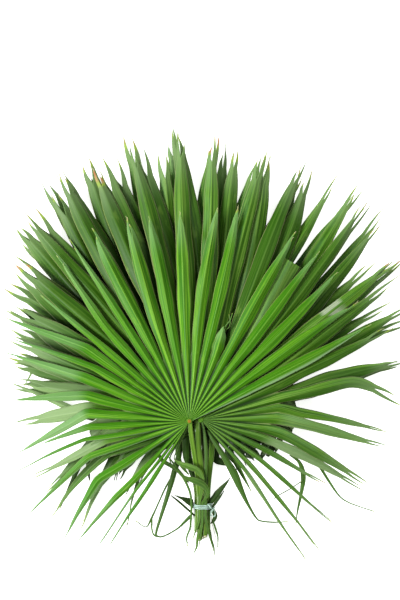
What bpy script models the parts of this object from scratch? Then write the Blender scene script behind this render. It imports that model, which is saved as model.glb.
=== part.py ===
"""A tied bunch of five fan palm leaves, lying face up on a table.

Each leaf is one body: a pleated fan blade cut into long split-tipped segments, the
hub where its ribs meet, the leaf stem, and for some of them a low segment that is
folded back along the stem. The five leaf stems lie together as three below and two
above, with loose leaf strips beside them, and a thin plastic twine is wound three
times round them.

Frame: metres, +Z up. The origin is the flat spot under the hub of the lowest leaf,
on the table. +Y runs from the stems to the longest segments, +X to the right as the
bunch is seen from above. Directions of segments are degrees from +Y, positive to +X.
"""

import math
import random

import bmesh
import bpy
from mathutils import Vector

MM = 0.001

# Rim of the whole bunch: reach from its centre ahead and to the sides
RIM_CENTRE = Vector((-23.0, 6.0, 0.0)) * MM
RIM_AHEAD = 421.0 * MM
RIM_LEFT = 250.0 * MM
RIM_RIGHT = 277.0 * MM
SHOULDER_LEFT_DEG = 56.0
SHOULDER_RIGHT_DEG = 64.0
SHOULDER_SOFTNESS_DEG = 10.0
LOW_SIDE_DEG = 112.0
LOW_SIDE_LOSS = 1.0 * MM

# Stack of leaves, from the table up
HUB_REST = 6.0 * MM
HUB_SPACING = 12.0 * MM
TIP_REST = 3.0 * MM
TIP_SPACING = 9.5 * MM
ARCH = 12.0 * MM

# Blade
BLADE_THICKNESS = 1.0 * MM
HUB_ARC = 4.0 * MM
INNER_RING = 0.42
FREE_STATIONS = (0.3, 0.62)
TIP_POWER = 4.5
WIDENING = 0.42
LOW_SPLIT = 0.36
RESTING_EVERY = 4

# Segments at the sides are bent down at a crease, and the lowest are the narrowest
BEND_FROM_DEG = 60.0
BEND_FULL_DEG = 84.0
BEND_FADE_DEG = 110.0
BEND_GONE_DEG = 150.0
BEND_KEPT = 0.2
NARROW_FROM_DEG = 92.0
NARROW_FULL_DEG = 132.0
CREASE_BLEND = 6.0 * MM

# Hub and leaf stem
HUB_DEPTH = 5.0 * MM
HUB_BEVEL = 1.5 * MM
HUB_SUNK = 0.3 * MM
STEM_RADIUS = 3.9 * MM
STEM_PITCH = 8.3 * MM
STEM_POINTS = 11
STEM_SIDES_RESOLUTION = 3

# Tie
TIE_X = -3.5 * MM
TIE_Y = -124.0 * MM
BUNDLE_REST = 7.2 * MM
BUNDLE_PARALLEL_ABOVE = 16.0 * MM
TWINE_RADIUS = 0.9 * MM
TWINE_GAP = 0.35 * MM
TWINE_TURNS = 3
TWINE_PITCH = 2.3 * MM
TWINE_POINTS = 24

# Folded and loose strips
STRIP_THICKNESS = 0.8 * MM
STRIP_GAP = 0.4 * MM
STRIP_ROOM = 1.6 * MM
STRIP_STATIONS = 8
STRIP_HELD_TOP = 3.9 * MM
STRIP_HELD_SIDE = 3.6 * MM
STRIP_SIDE_RISE = 0.6 * MM
STRIP_FOLD = 0.16

# Where each leaf stem lies in the tied bundle: across and up, in pitches
SLOTS = {
    "top_left": (-0.5, 1.0),
    "top_right": (0.5, 1.0),
    "low_right": (1.0, 0.0),
    "low_left": (-1.0, 0.0),
    "low_middle": (0.0, 0.0),
}
ROW_RISE = STEM_PITCH * math.sin(math.radians(60.0))

# Each leaf: level in the stack, hub place and radius, fan range, segments, share of the
# rim that it reaches, where the segments part, pleat height, and its place in the tie.
# Short segments are torn off to a point at a length, cut ones are cut off square there.
LEAVES = (
    {
        "name": "leaf_top",
        "bend_deg": 20.0,
        "level": 4,
        "hub": Vector((-23.0, 6.0, 0.0)) * MM,
        "hub_radius": 5.5 * MM,
        "fan_deg": (-150.5, 65.5),
        "segments": 27,
        "short": {21: 150.0 * MM},
        "share": 0.765,
        "side_share": 0.96,
        "split": 98.0 * MM,
        "fold": 0.72,
        "seed": 11,
        "slot": "top_left",
        "stem_end": -177.0 * MM,
    },
    {
        "name": "leaf_second",
        "bend_deg": 17.0,
        "level": 3,
        "hub": Vector((-6.0, 9.0, 0.0)) * MM,
        "hub_radius": 5.5 * MM,
        "fan_deg": (-106.0, 148.0),
        "segments": 29,
        "cut": {15: 264.0 * MM},
        "share": 0.985,
        "side_share": 0.985,
        "split": 118.0 * MM,
        "fold": 0.56,
        "seed": 22,
        "slot": "top_right",
        "stem_end": -172.0 * MM,
    },
    {
        "name": "leaf_third",
        "bend_deg": 26.0,
        "level": 2,
        "hub": Vector((10.0, 1.0, 0.0)) * MM,
        "hub_radius": 5.5 * MM,
        "fan_deg": (-118.0, 118.0),
        "segments": 26,
        "share": 1.0,
        "side_share": 1.0,
        "split": 130.0 * MM,
        "fold": 0.54,
        "seed": 33,
        "slot": "low_right",
        "stem_end": -168.0 * MM,
    },
    {
        "name": "leaf_fourth",
        "bend_deg": 34.0,
        "level": 1,
        "hub": Vector((-34.0, 9.0, 0.0)) * MM,
        "hub_radius": 5.5 * MM,
        "fan_deg": (-146.0, 112.0),
        "segments": 28,
        "share": 0.975,
        "side_share": 0.99,
        "split": 126.0 * MM,
        "fold": 0.54,
        "seed": 44,
        "slot": "low_left",
        "stem_end": -165.0 * MM,
    },
    {
        "name": "leaf_lowest",
        "bend_deg": 40.0,
        "level": 0,
        "hub": Vector((0.0, 0.0, 0.0)),
        "hub_radius": 10.0 * MM,
        "fan_deg": (-124.0, 141.0),
        "segments": 28,
        "share": 1.0,
        "side_share": 0.98,
        "split": 132.0 * MM,
        "fold": 0.5,
        "seed": 55,
        "slot": "low_middle",
        "stem_end": -175.0 * MM,
    },
)

# Strips through the tie: start, two handles of the curve down to the tie, place in the
# tie (side -1 left, 0 on top, 1 right, and how far across), end, and width. A strip with
# a leaf grows from that leaf's hub, the others are loose pieces.
STRIPS = (
    {
        "name": "leaf_top",
        "start": (-24.0, 2.0, 49.0),
        "handles": ((-46.0, -42.0, 42.0), (-14.0, -70.0, 26.0)),
        "side": 0,
        "across": -4.6,
        "end": (-19.0, -176.0, 19.5),
        "width": 9.0,
        "bank": 0.35,
    },
    {
        "name": "leaf_top",
        "start": (-25.0, 3.0, 50.5),
        "handles": ((-64.0, -64.0, 47.0), (-6.0, -84.0, 36.0)),
        "side": 0,
        "across": 0.0,
        "end": (-9.0, -190.0, 19.5),
        "width": 11.0,
        "bank": 0.45,
    },
    {
        "name": "leaf_second",
        "start": (-4.0, 6.0, 40.0),
        "handles": ((16.0, -60.0, 44.0), (8.0, -84.0, 24.0)),
        "side": 0,
        "across": 4.6,
        "end": (14.0, -194.0, 10.0),
        "width": 8.0,
        "bank": -0.4,
    },
    {
        "name": "strip_right",
        "start": (37.0, -84.0, 29.0),
        "handles": ((30.0, -94.0, 24.0), (10.5, -108.0, 11.0)),
        "side": 1,
        "across": 0.0,
        "end": (18.0, -178.0, 5.0),
        "width": 9.5,
        "bank": 0.7,
    },
    {
        "name": "strip_left",
        "start": (-44.0, -107.0, 27.0),
        "handles": ((-34.0, -108.0, 22.0), (-17.5, -112.0, 11.0)),
        "side": -1,
        "across": 0.0,
        "end": (-27.0, -187.0, 3.0),
        "width": 9.5,
        "bank": -0.7,
    },
)

# One low segment that hangs down beside the stems, turns back on itself and ends at the
# tie: its line from the hub, and its half width at each point
HANGING = {
    "name": "leaf_fourth",
    "line": (
        (-34.0, 6.0, 17.0),
        (-38.0, -42.0, 17.0),
        (-47.0, -76.0, 15.0),
        (-56.0, -108.0, 13.0),
        (-73.0, -163.0, 9.0),
        (-71.0, -170.0, 8.5),
        (-62.0, -170.0, 8.5),
        (-42.0, -159.0, 9.0),
        (-25.0, -139.5, 9.0),
    ),
    "half_width": (3.0, 4.2, 4.2, 3.4, 1.5, 1.0, 1.0, 0.8, 0.4),
}
HANGING_STEPS = 3

LEAF_GREEN = (0.10, 0.27, 0.035, 1.0)
TOP_LEAF_GREEN = (0.15, 0.38, 0.04, 1.0)
STRIP_GREEN = (0.12, 0.31, 0.04, 1.0)
TWINE_MINT = (0.62, 0.83, 0.72, 1.0)


def clear_scene():
    for obj in list(bpy.data.objects):
        bpy.data.objects.remove(obj)


def collection(name):
    made = bpy.data.collections.new(name)
    bpy.context.scene.collection.children.link(made)
    return made


def material(name, colour, roughness):
    made = bpy.data.materials.new(name)
    made.use_nodes = True
    surface = made.node_tree.nodes["Principled BSDF"]
    surface.inputs["Base Color"].default_value = colour
    surface.inputs["Roughness"].default_value = roughness
    surface.inputs["Metallic"].default_value = 0.0
    return made


def mix(a, b, share):
    return a + (b - a) * share


def smooth(share):
    """0 to 1, level at both ends."""
    share = min(1.0, max(0.0, share))
    return share * share * (3.0 - 2.0 * share)


def heading(radians):
    return Vector((math.sin(radians), math.cos(radians), 0.0))


def shoulder(degrees):
    """1 ahead, 0 at the sides, with a soft step at the shoulder of that side."""
    edge = SHOULDER_RIGHT_DEG if degrees > 0 else SHOULDER_LEFT_DEG
    return 1.0 / (1.0 + math.exp((abs(degrees) - edge) / SHOULDER_SOFTNESS_DEG))


def rim(degrees):
    """How far the bunch reaches from its centre in a direction."""
    side = RIM_RIGHT if degrees > 0 else RIM_LEFT
    loss = LOW_SIDE_LOSS * max(0.0, abs(degrees) - LOW_SIDE_DEG)
    return mix(side, RIM_AHEAD, shoulder(degrees)) - loss


def reach(leaf, degrees):
    """How far a leaf reaches from its own hub in a direction."""
    share = mix(leaf["side_share"], leaf["share"], shoulder(degrees))
    offset = leaf["hub"] - RIM_CENTRE
    return rim(degrees) * share - offset.dot(heading(math.radians(degrees)))


def split_at(leaf, degrees):
    """Where the segments part: nearer to the hub for the low ones."""
    return leaf["split"] * mix(1.0, LOW_SPLIT, smooth((abs(degrees) - 80.0) / 50.0))


def layer_height(level, x, y):
    """Height of a leaf's middle surface: a low dome, the same for each leaf of the stack."""
    from_centre = Vector((x, y, 0.0)) - RIM_CENTRE
    degrees = math.degrees(math.atan2(from_centre.x, from_centre.y))
    share = min(1.08, from_centre.length / rim(degrees))
    hub = HUB_REST + HUB_SPACING * level
    tip = TIP_REST + TIP_SPACING * level
    dome = ARCH * math.sin(math.pi * min(share, 1.0)) ** 2
    return mix(hub, tip, share * share) + dome


def bend_at(leaf, degrees):
    """How far a segment turns at its crease: none ahead, most at the side, little below."""
    begun = smooth((abs(degrees) - BEND_FROM_DEG) / (BEND_FULL_DEG - BEND_FROM_DEG))
    faded = smooth((abs(degrees) - BEND_FADE_DEG) / (BEND_GONE_DEG - BEND_FADE_DEG))
    return math.radians(leaf["bend_deg"]) * begun * mix(1.0, BEND_KEPT, faded)


def draw_segments(leaf):
    """The seeded size, lean and droop of each segment of a leaf."""
    draw = random.Random(leaf["seed"])
    first, last = leaf["fan_deg"]
    step = (last - first) / leaf["segments"]
    found = []
    for i in range(leaf["segments"]):
        middle = first + (i + 0.5) * step
        low = smooth((abs(middle) - 75.0) / 50.0)
        down = 1.0 if middle > 0 else -1.0
        narrow = smooth((abs(middle) - NARROW_FROM_DEG) / (NARROW_FULL_DEG - NARROW_FROM_DEG))
        found.append(
            {
                "degrees": middle,
                "half_step": step / 2,
                "length": reach(leaf, middle) * draw.uniform(0.93, 1.015),
                "cut": False,
                "lean": draw.uniform(-0.022, 0.022) + down * low * draw.uniform(-0.04, 0.13),
                "lift": draw.uniform(-0.9, 0.9) * MM,
                "twist": draw.uniform(-0.13, 0.13),
                "width": draw.uniform(0.86, 1.0),
                "fork": draw.uniform(0.84, 0.91),
                "uneven": draw.uniform(-0.03, 0.03),
                "spread": draw.uniform(0.25, 0.8),
                "crease": draw.uniform(0.52, 0.6),
                "bend": down * bend_at(leaf, middle) * draw.uniform(0.86, 1.1),
                "slim": mix(1.0, draw.uniform(0.42, 0.72), narrow),
                "rests": leaf["level"] == 0 and i % RESTING_EVERY == 1,
            }
        )
    for i, length in leaf.get("short", {}).items():
        found[i]["length"] = length
    for i, length in leaf.get("cut", {}).items():
        found[i].update(length=length, cut=True, fork=1.0)
    return found


def free_width(segment, leaf, share):
    """Half width of the free part: widening after the split, then a long pointed end."""
    start = split_at(leaf, segment["degrees"]) * math.tan(math.radians(segment["half_step"]))
    grown = mix(1.0, segment["width"] * (1.0 + WIDENING) * segment["slim"], smooth(share * 2.2))
    return start * grown * (1.0 if segment["cut"] else 1.0 - share**TIP_POWER)


def middle_line(segment, leaf, share, longer=1.0):
    """Point and width direction on a segment's middle line, which is bent at the crease."""
    length = mix(split_at(leaf, segment["degrees"]), segment["length"], share) * longer
    beyond = length - segment["crease"] * segment["length"]
    turn = math.radians(segment["degrees"]) + segment["lean"] * share * share
    bent = turn + segment["bend"]
    point = leaf["hub"] + heading(turn) * (length - max(0.0, beyond))
    point += heading(bent) * max(0.0, beyond)
    facing = mix(turn, bent, smooth(beyond / CREASE_BLEND + 0.5))
    return point, heading(facing + math.pi / 2)


def stations(segment, leaf):
    """Where the free part has its corners: at the crease, if it has one, and up to the fork."""
    if abs(segment["bend"]) < math.radians(3.0):
        return (*FREE_STATIONS, segment["fork"])
    start = split_at(leaf, segment["degrees"])
    crease = (segment["crease"] * segment["length"] - start) / (segment["length"] - start)
    return (crease, mix(crease, segment["fork"], 0.5), segment["fork"])


def free_point(segment, leaf, share, across, ridge):
    """A point on the free part: share from split to tip, across from -1 to 1, ridge 0 to 1."""
    point, side = middle_line(segment, leaf, share)
    half = free_width(segment, leaf, share)
    point += side * half * across
    rise = leaf["fold"] * half * (ridge - 0.5) + segment["twist"] * half * across
    point.z = layer_height(leaf["level"], point.x, point.y)
    point.z = max(BLADE_THICKNESS, point.z + rise + segment["lift"] * smooth(share))
    return point


def fork_tip(segment, leaf, side):
    """The point of one half of a split tip. Resting tips of the lowest leaf touch the table."""
    point, out = middle_line(segment, leaf, 1.0, 1.0 + segment["uneven"] * side)
    point += out * side * free_width(segment, leaf, segment["fork"]) * segment["spread"]
    height = layer_height(leaf["level"], point.x, point.y) + segment["lift"]
    point.z = BLADE_THICKNESS if segment["rests"] else max(BLADE_THICKNESS, height)
    return point


def joined_point(leaf, degrees, share, ridge):
    """A point of the pleated, uncut part of the blade, share from the hub to the split."""
    first, last = leaf["fan_deg"]
    half_step = math.radians((last - first) / leaf["segments"] / 2)
    radius = mix(HUB_ARC, split_at(leaf, degrees), share)
    point = leaf["hub"] + heading(math.radians(degrees)) * radius
    rise = leaf["fold"] * radius * math.tan(half_step) * (ridge - 0.5)
    point.z = layer_height(leaf["level"], point.x, point.y) + rise
    return point


def blade(leaf, group):
    """The fan: ribs are ridges, the valleys between them are cut open beyond the split."""
    mesh = bmesh.new()
    segments = draw_segments(leaf)
    rings = (0.0, INNER_RING, 1.0)
    valleys = []
    for i in range(len(segments) + 1):
        degrees = leaf["fan_deg"][0] + i * 2 * segments[0]["half_step"]
        valleys.append([mesh.verts.new(joined_point(leaf, degrees, r, 0.0)) for r in rings])
    for i, segment in enumerate(segments):
        rib = [mesh.verts.new(joined_point(leaf, segment["degrees"], r, 1.0)) for r in rings]
        left, right = list(valleys[i]), list(valleys[i + 1])
        for share in stations(segment, leaf):
            left.append(mesh.verts.new(free_point(segment, leaf, share, -1.0, 0.0)))
            rib.append(mesh.verts.new(free_point(segment, leaf, share, 0.0, 1.0)))
            right.append(mesh.verts.new(free_point(segment, leaf, share, 1.0, 0.0)))
        for j in range(len(rib) - 1):
            mesh.faces.new((left[j], rib[j], rib[j + 1], left[j + 1]))
            mesh.faces.new((rib[j], right[j], right[j + 1], rib[j + 1]))
        if not segment["cut"]:
            tips = [mesh.verts.new(fork_tip(segment, leaf, side)) for side in (-1.0, 1.0)]
            mesh.faces.new((left[-1], rib[-1], tips[0]))
            mesh.faces.new((rib[-1], right[-1], tips[1]))
    return thick_sheet(leaf["name"], mesh, group)


def thick_sheet(name, mesh, group):
    """Closes an open sheet into a solid, one blade thickness deep, downwards."""
    bmesh.ops.triangulate(mesh, faces=mesh.faces[:])
    made = bmesh.ops.extrude_face_region(mesh, geom=mesh.faces[:])
    lower = [v for v in made["geom"] if isinstance(v, bmesh.types.BMVert)]
    bmesh.ops.translate(mesh, verts=lower, vec=(0.0, 0.0, -BLADE_THICKNESS))
    return as_object(name, mesh, group)


def as_object(name, mesh, group):
    """One closed mesh with its faces outwards and cut into triangles."""
    bmesh.ops.triangulate(mesh, faces=mesh.faces[:])
    bmesh.ops.recalc_face_normals(mesh, faces=mesh.faces[:])
    data = bpy.data.meshes.new(name)
    mesh.to_mesh(data)
    mesh.free()
    obj = bpy.data.objects.new(name, data)
    group.objects.link(obj)
    return obj


def slot_place(slot):
    """Middle of a leaf stem in the tied bundle: x, z."""
    across, up = SLOTS[slot]
    return Vector((TIE_X + across * STEM_PITCH, BUNDLE_REST + up * ROW_RISE))


def hub_height(leaf):
    return HUB_REST + HUB_SPACING * leaf["level"]


def stem_centre(leaf, y):
    """The leaf stem's middle line: straight through the tie, then fanning out to the hub."""
    slot = slot_place(leaf["slot"])
    begin = TIE_Y + BUNDLE_PARALLEL_ABOVE
    share = max(0.0, (y - begin) / (leaf["hub"].y - begin))
    bend = mix(share, smooth(share), 0.5)
    hub_z = hub_height(leaf) - HUB_DEPTH * 0.35
    return Vector((mix(slot.x, leaf["hub"].x, bend), y, mix(slot.y, hub_z, bend)))


def tube(name, points, radii, group, resolution):
    """A round rod through the points, as one closed mesh."""
    data = bpy.data.curves.new(name, "CURVE")
    data.dimensions = "3D"
    data.bevel_depth = 1.0
    data.bevel_resolution = resolution
    data.use_fill_caps = True
    line = data.splines.new("POLY")
    line.points.add(len(points) - 1)
    for held, point, radius in zip(line.points, points, radii):
        held.co = (*point, 1.0)
        held.radius = radius
    curve = bpy.data.objects.new(name + "_line", data)
    group.objects.link(curve)
    graph = bpy.context.evaluated_depsgraph_get()
    mesh = bmesh.new()
    mesh.from_mesh(bpy.data.meshes.new_from_object(curve.evaluated_get(graph)))
    bmesh.ops.remove_doubles(mesh, verts=mesh.verts[:], dist=1e-6)
    bpy.data.objects.remove(curve)
    return as_object(name, mesh, group)


def stem(leaf, group):
    top = leaf["hub"].y - 1.0 * MM
    points = []
    radii = []
    for i in range(STEM_POINTS):
        share = i / (STEM_POINTS - 1)
        points.append(stem_centre(leaf, mix(leaf["stem_end"], top, share)))
        radii.append(STEM_RADIUS * mix(1.0, 0.8, smooth(share * 1.4 - 0.4)))
    return tube(leaf["name"] + "_stem", points, radii, group, STEM_SIDES_RESOLUTION)


def hub(leaf, group):
    """The low round boss where the ribs and the leaf stem meet. Its underside is flat."""
    top = layer_height(leaf["level"], leaf["hub"].x, leaf["hub"].y) - HUB_SUNK
    low = 0.0 if leaf["level"] == 0 else top - HUB_DEPTH
    mesh = bmesh.new()
    bmesh.ops.create_cone(
        mesh,
        cap_ends=True,
        segments=14,
        radius1=leaf["hub_radius"],
        radius2=leaf["hub_radius"],
        depth=top - low,
    )
    bmesh.ops.bevel(
        mesh,
        geom=[e for e in mesh.edges if abs(e.verts[0].co.z - e.verts[1].co.z) < 1e-6],
        offset=HUB_BEVEL,
        segments=1,
        affect="EDGES",
    )
    place = Vector((leaf["hub"].x, leaf["hub"].y, (low + top) / 2))
    bmesh.ops.translate(mesh, verts=mesh.verts[:], vec=place)
    return as_object(leaf["name"] + "_hub", mesh, group)


def bezier(a, b, c, d, t):
    u = 1.0 - t
    return a * u**3 + b * 3 * u * u * t + c * 3 * u * t * t + d * t**3


def tie_place(strip):
    """Middle of a strip where it passes under the twine, and which way its width lies."""
    if strip["side"] == 0:
        top = BUNDLE_REST + ROW_RISE + STEM_RADIUS + STRIP_GAP + STRIP_THICKNESS / 2
        return Vector((TIE_X + strip["across"] * MM, TIE_Y, top)), Vector((1.0, 0.0, 0.0))
    out = STEM_PITCH + STEM_RADIUS + STRIP_GAP + STRIP_THICKNESS / 2
    place = Vector((TIE_X + strip["side"] * out, TIE_Y, BUNDLE_REST + STRIP_SIDE_RISE))
    return place, Vector((0.0, 0.0, -1.0 * strip["side"]))


def strip_stations(strip, grown):
    """Middle line, width direction, half width and fold along a strip."""
    held, held_side = tie_place(strip)
    run = Vector((0.0, TWINE_TURNS * TWINE_PITCH * 0.5 + 2.0 * MM, 0.0))
    start, first, second = (Vector(p) * MM for p in (strip["start"], *strip["handles"]))
    end = Vector(strip["end"]) * MM
    loose_side = Vector((math.cos(strip["bank"]), 0.25, math.sin(strip["bank"]))).normalized()
    half = strip["width"] * MM / 2
    held_half = (STRIP_HELD_SIDE if strip["side"] else STRIP_HELD_TOP) / 2
    found = []
    for i in range(STRIP_STATIONS + 1):
        t = i / STRIP_STATIONS
        side = loose_side.lerp(held_side, smooth(t * 1.1)).normalized()
        ends = 1.0 if grown else min(1.0, 0.06 + t * 2.5)
        width = mix(half, held_half, smooth(t * 2.0 - 0.9)) * ends
        found.append((bezier(start, first, second, held + run, t), side, width, 1.0 - smooth(t)))
    found.append((held, held_side, held_half, 0.0))
    below = held - run
    bow = below - run * 3.0
    for i in range(5):
        t = i / 4
        width = held_half * (1.0 - 0.94 * t**1.6)
        found.append((bezier(below, bow, bow, end, t), held_side, width, 0.0))
    return found


def through(before, a, b, after, t):
    """A point between a and b on a smooth curve through four points."""
    bent = (before * -1 + a * 3 - b * 3 + after) * t**3
    return (a * 2 + (b - before) * t + (before * 2 - a * 5 + b * 4 - after) * t * t + bent) * 0.5


def hanging_stations():
    """Middle line, width direction, half width and fold along the hanging segment."""
    line = [Vector(p) * MM for p in HANGING["line"]]
    halves = HANGING["half_width"]
    found = []
    for i in range(len(line) - 1):
        before, after = line[max(i - 1, 0)], line[min(i + 2, len(line) - 1)]
        for step in range(HANGING_STEPS):
            t = step / HANGING_STEPS
            middle = through(before, line[i], line[i + 1], after, t)
            found.append((middle, mix(halves[i], halves[i + 1], t) * MM))
    found.append((line[-1], halves[-1] * MM))
    stations = []
    for i, (middle, half) in enumerate(found):
        along = found[min(i + 1, len(found) - 1)][0] - found[max(i - 1, 0)][0]
        side = along.cross(Vector((0.0, 0.0, 1.0))).normalized()
        stations.append((middle, side, half, 1.0))
    return stations


def strip_sheet(name, stations, group):
    """A narrow leaf strip with a low ridge, closed all round."""
    mesh = bmesh.new()
    rings = []
    for i, (middle, side, half, fold) in enumerate(stations):
        before = stations[max(i - 1, 0)][0]
        after = stations[min(i + 1, len(stations) - 1)][0]
        along = (after - before).normalized()
        side = (side - along * side.dot(along)).normalized()
        out = side.cross(along)
        ridge = out * half * STRIP_FOLD * fold
        skin = out * STRIP_THICKNESS / 2
        line = (middle - side * half, middle + ridge, middle + side * half)
        upper = [mesh.verts.new(p + skin) for p in line]
        lower = [mesh.verts.new(p - skin) for p in reversed(line)]
        rings.append(upper + lower)
    for near, far in zip(rings, rings[1:]):
        for j in range(6):
            k = (j + 1) % 6
            mesh.faces.new((near[j], near[k], far[k], far[j]))
    for ring in (rings[0], rings[-1]):
        mesh.faces.new((ring[0], ring[1], ring[4], ring[5]))
        mesh.faces.new((ring[1], ring[2], ring[3], ring[4]))
    return as_object(name, mesh, group)


def join(target, parts, group):
    """One Boolean union of the parts with the target, applied."""
    union = target.modifiers.new("join", "BOOLEAN")
    union.operation = "UNION"
    union.operand_type = "COLLECTION"
    union.collection = group
    union.solver = "EXACT"
    graph = bpy.context.evaluated_depsgraph_get()
    mesh = bmesh.new()
    mesh.from_mesh(bpy.data.meshes.new_from_object(target.evaluated_get(graph)))
    bmesh.ops.triangulate(mesh, faces=mesh.faces[:])
    target.modifiers.clear()
    mesh.to_mesh(target.data)
    mesh.free()
    for part in parts:
        bpy.data.objects.remove(part)


def build_leaf(leaf, group, finish):
    helpers = collection(leaf["name"] + "_pieces")
    fan = blade(leaf, group)
    parts = [stem(leaf, helpers), hub(leaf, helpers)]
    low = [strip_stations(s, True) for s in STRIPS if s["name"] == leaf["name"]]
    if HANGING["name"] == leaf["name"]:
        low.append(hanging_stations())
    parts += [strip_sheet(leaf["name"] + "_low_segment", stations, helpers) for stations in low]
    join(fan, parts, helpers)
    bpy.data.collections.remove(helpers)
    fan.data.materials.clear()
    fan.data.materials.append(finish)


def bundle_edge(angle, clearance):
    """A point round the tied leaf stems: the tight outline of the four corner stems."""
    out = Vector((math.cos(angle), math.sin(angle)))
    corners = [slot_place(slot) for slot in SLOTS if slot != "low_middle"]
    corner = max(corners, key=lambda c: c.dot(out))
    extra = STRIP_ROOM * smooth(out.y * 2.5 + 1.5)
    return corner + out * (STEM_RADIUS + clearance + extra)


def tie(group, finish):
    """Twine wound round the bundle, with both ends left standing at the right."""
    clearance = TWINE_RADIUS + TWINE_GAP
    start = math.radians(20.0)
    count = TWINE_TURNS * TWINE_POINTS + 3
    first_y = TIE_Y - TWINE_TURNS * TWINE_PITCH / 2
    points = []
    for i in range(count):
        angle = start + 2 * math.pi * i / TWINE_POINTS
        edge = bundle_edge(angle, clearance)
        points.append(Vector((edge.x, first_y + TWINE_PITCH * i / TWINE_POINTS, edge.y)))
    tail_in = [points[0] + Vector(v) * MM for v in ((7.0, -11.0, 2.0), (3.5, -4.0, 1.5))]
    tail_out = [points[-1] + Vector(v) * MM for v in ((2.0, -1.0, 3.5), (5.0, -6.0, 4.5))]
    points = tail_in + points + tail_out
    radii = [TWINE_RADIUS] * len(points)
    made = tube("tie", points, radii, group, 1)
    made.data.materials.append(finish)


def main():
    clear_scene()
    bunch = collection("fan_palm_bunch")
    top_green = material("top_leaf_green", TOP_LEAF_GREEN, 0.42)
    green = material("leaf_green", LEAF_GREEN, 0.45)
    strip_green = material("strip_green", STRIP_GREEN, 0.45)
    mint = material("twine_mint", TWINE_MINT, 0.35)
    for leaf in LEAVES:
        build_leaf(leaf, bunch, top_green if leaf["level"] == 4 else green)
    grown = [leaf["name"] for leaf in LEAVES]
    for strip in STRIPS:
        if strip["name"] not in grown:
            loose = strip_sheet(strip["name"], strip_stations(strip, False), bunch)
            loose.data.materials.append(strip_green)
    tie(bunch, mint)


main()
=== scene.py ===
# %% [markdown]
# # A tied bunch of fan palm leaves
# The real object is five fan palm leaves laid face up on each other, with their leaf stems
# tied together by a thin mint twine. Each leaf is a round fan pleated like paper, cut into
# long segments with split tips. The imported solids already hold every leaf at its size, so
# this script draws finer leaves over the same formulas and then gives them their finish.

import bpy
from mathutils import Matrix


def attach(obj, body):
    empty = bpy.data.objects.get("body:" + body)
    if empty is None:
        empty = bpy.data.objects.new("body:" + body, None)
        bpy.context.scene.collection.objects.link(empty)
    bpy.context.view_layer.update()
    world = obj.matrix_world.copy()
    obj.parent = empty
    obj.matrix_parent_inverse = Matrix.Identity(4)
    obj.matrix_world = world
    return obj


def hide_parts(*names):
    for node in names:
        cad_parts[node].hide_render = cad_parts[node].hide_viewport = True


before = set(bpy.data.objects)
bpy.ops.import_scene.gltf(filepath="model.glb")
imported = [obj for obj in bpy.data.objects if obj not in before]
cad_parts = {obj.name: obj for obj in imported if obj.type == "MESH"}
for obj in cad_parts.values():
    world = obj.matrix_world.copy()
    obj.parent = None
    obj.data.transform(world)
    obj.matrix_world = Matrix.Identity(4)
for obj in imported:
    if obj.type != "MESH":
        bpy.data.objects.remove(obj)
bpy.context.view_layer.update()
print("solids:", sorted(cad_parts))

# %% Tools used all through
import math
import random

import bpy
import numpy as np
from mathutils import Vector

MM = 0.001


def mix(a, b, share):
    """a at share 0, b at share 1, a straight line between."""
    return a + (b - a) * share


def smooth(share):
    """0 to 1 with level ends: three times the square less twice the cube."""
    share = np.clip(share, 0.0, 1.0)
    return share * share * (3.0 - 2.0 * share)


def ramp(value, begin, span):
    """0 before begin and 1 a span later, with level ends."""
    return smooth((value - begin) / span)


def heading(radians):
    """Unit vectors on the table, turned from +Y towards +X: sine, cosine, zero."""
    radians = np.asarray(radians, float)
    return np.stack([np.sin(radians), np.cos(radians), np.zeros_like(radians)], axis=-1)


def circle(sides):
    """Cosines and sines of even steps round a circle."""
    turn = np.linspace(0.0, 2.0 * math.pi, sides, endpoint=False)
    return np.cos(turn), np.sin(turn)


def link_new(name, data):
    """A new object that shows this data, linked into the scene."""
    made = bpy.data.objects.new(name, data)
    bpy.context.scene.collection.objects.link(made)
    return made


# %% [markdown]
# ## Camera
# The photo looks straight down on the bunch with the leaf stems towards the viewer, so the
# camera hangs over the bunch and looks along -Z with +Y up in the picture. One pixel of the
# photo is about 1.5 mm here. A long lens is used, because the photo shows no perspective.

# %% Camera
MM_PER_PIXEL = 1.5
PICTURE = np.array([400.0, 600.0])
PICTURE_CENTRE = np.array([-7.0, 187.5, 32.0]) * MM
CAMERA_DISTANCE = 2.6
camera_data = bpy.data.cameras.new("camera")
camera_data.sensor_fit = "VERTICAL"
camera_data.sensor_height = 36.0
camera_data.lens = 36.0 * CAMERA_DISTANCE / (PICTURE[1] * MM_PER_PIXEL * MM)
camera = link_new("camera", camera_data)
camera.location = PICTURE_CENTRE + np.array([0.0, 0.0, CAMERA_DISTANCE])
bpy.context.scene.camera = camera
print("lens", round(camera_data.lens, 1), "mm at", CAMERA_DISTANCE, "m")

# %% [markdown]
# ## The shape of the bunch
# All leaves share one rim, which reaches far ahead and less to the sides, and one low dome
# that keeps them apart in height. Both are formulas of direction and distance. The numbers
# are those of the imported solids, so that the finer leaves lie exactly where the solids do.

# %% Rim and dome
RIM_CENTRE = np.array([-23.0, 6.0]) * MM
RIM_AHEAD, RIM_LEFT, RIM_RIGHT = 421.0 * MM, 250.0 * MM, 277.0 * MM
SHOULDER_LEFT, SHOULDER_RIGHT, SHOULDER_SOFTNESS = 56.0, 64.0, 10.0
LOW_SIDE, LOW_SIDE_LOSS = 112.0, 1.0 * MM
HUB_REST, HUB_SPACING = 6.0 * MM, 12.0 * MM
TIP_REST, TIP_SPACING, ARCH, DOME_END = 3.0 * MM, 9.5 * MM, 12.0 * MM, 1.08


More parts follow.
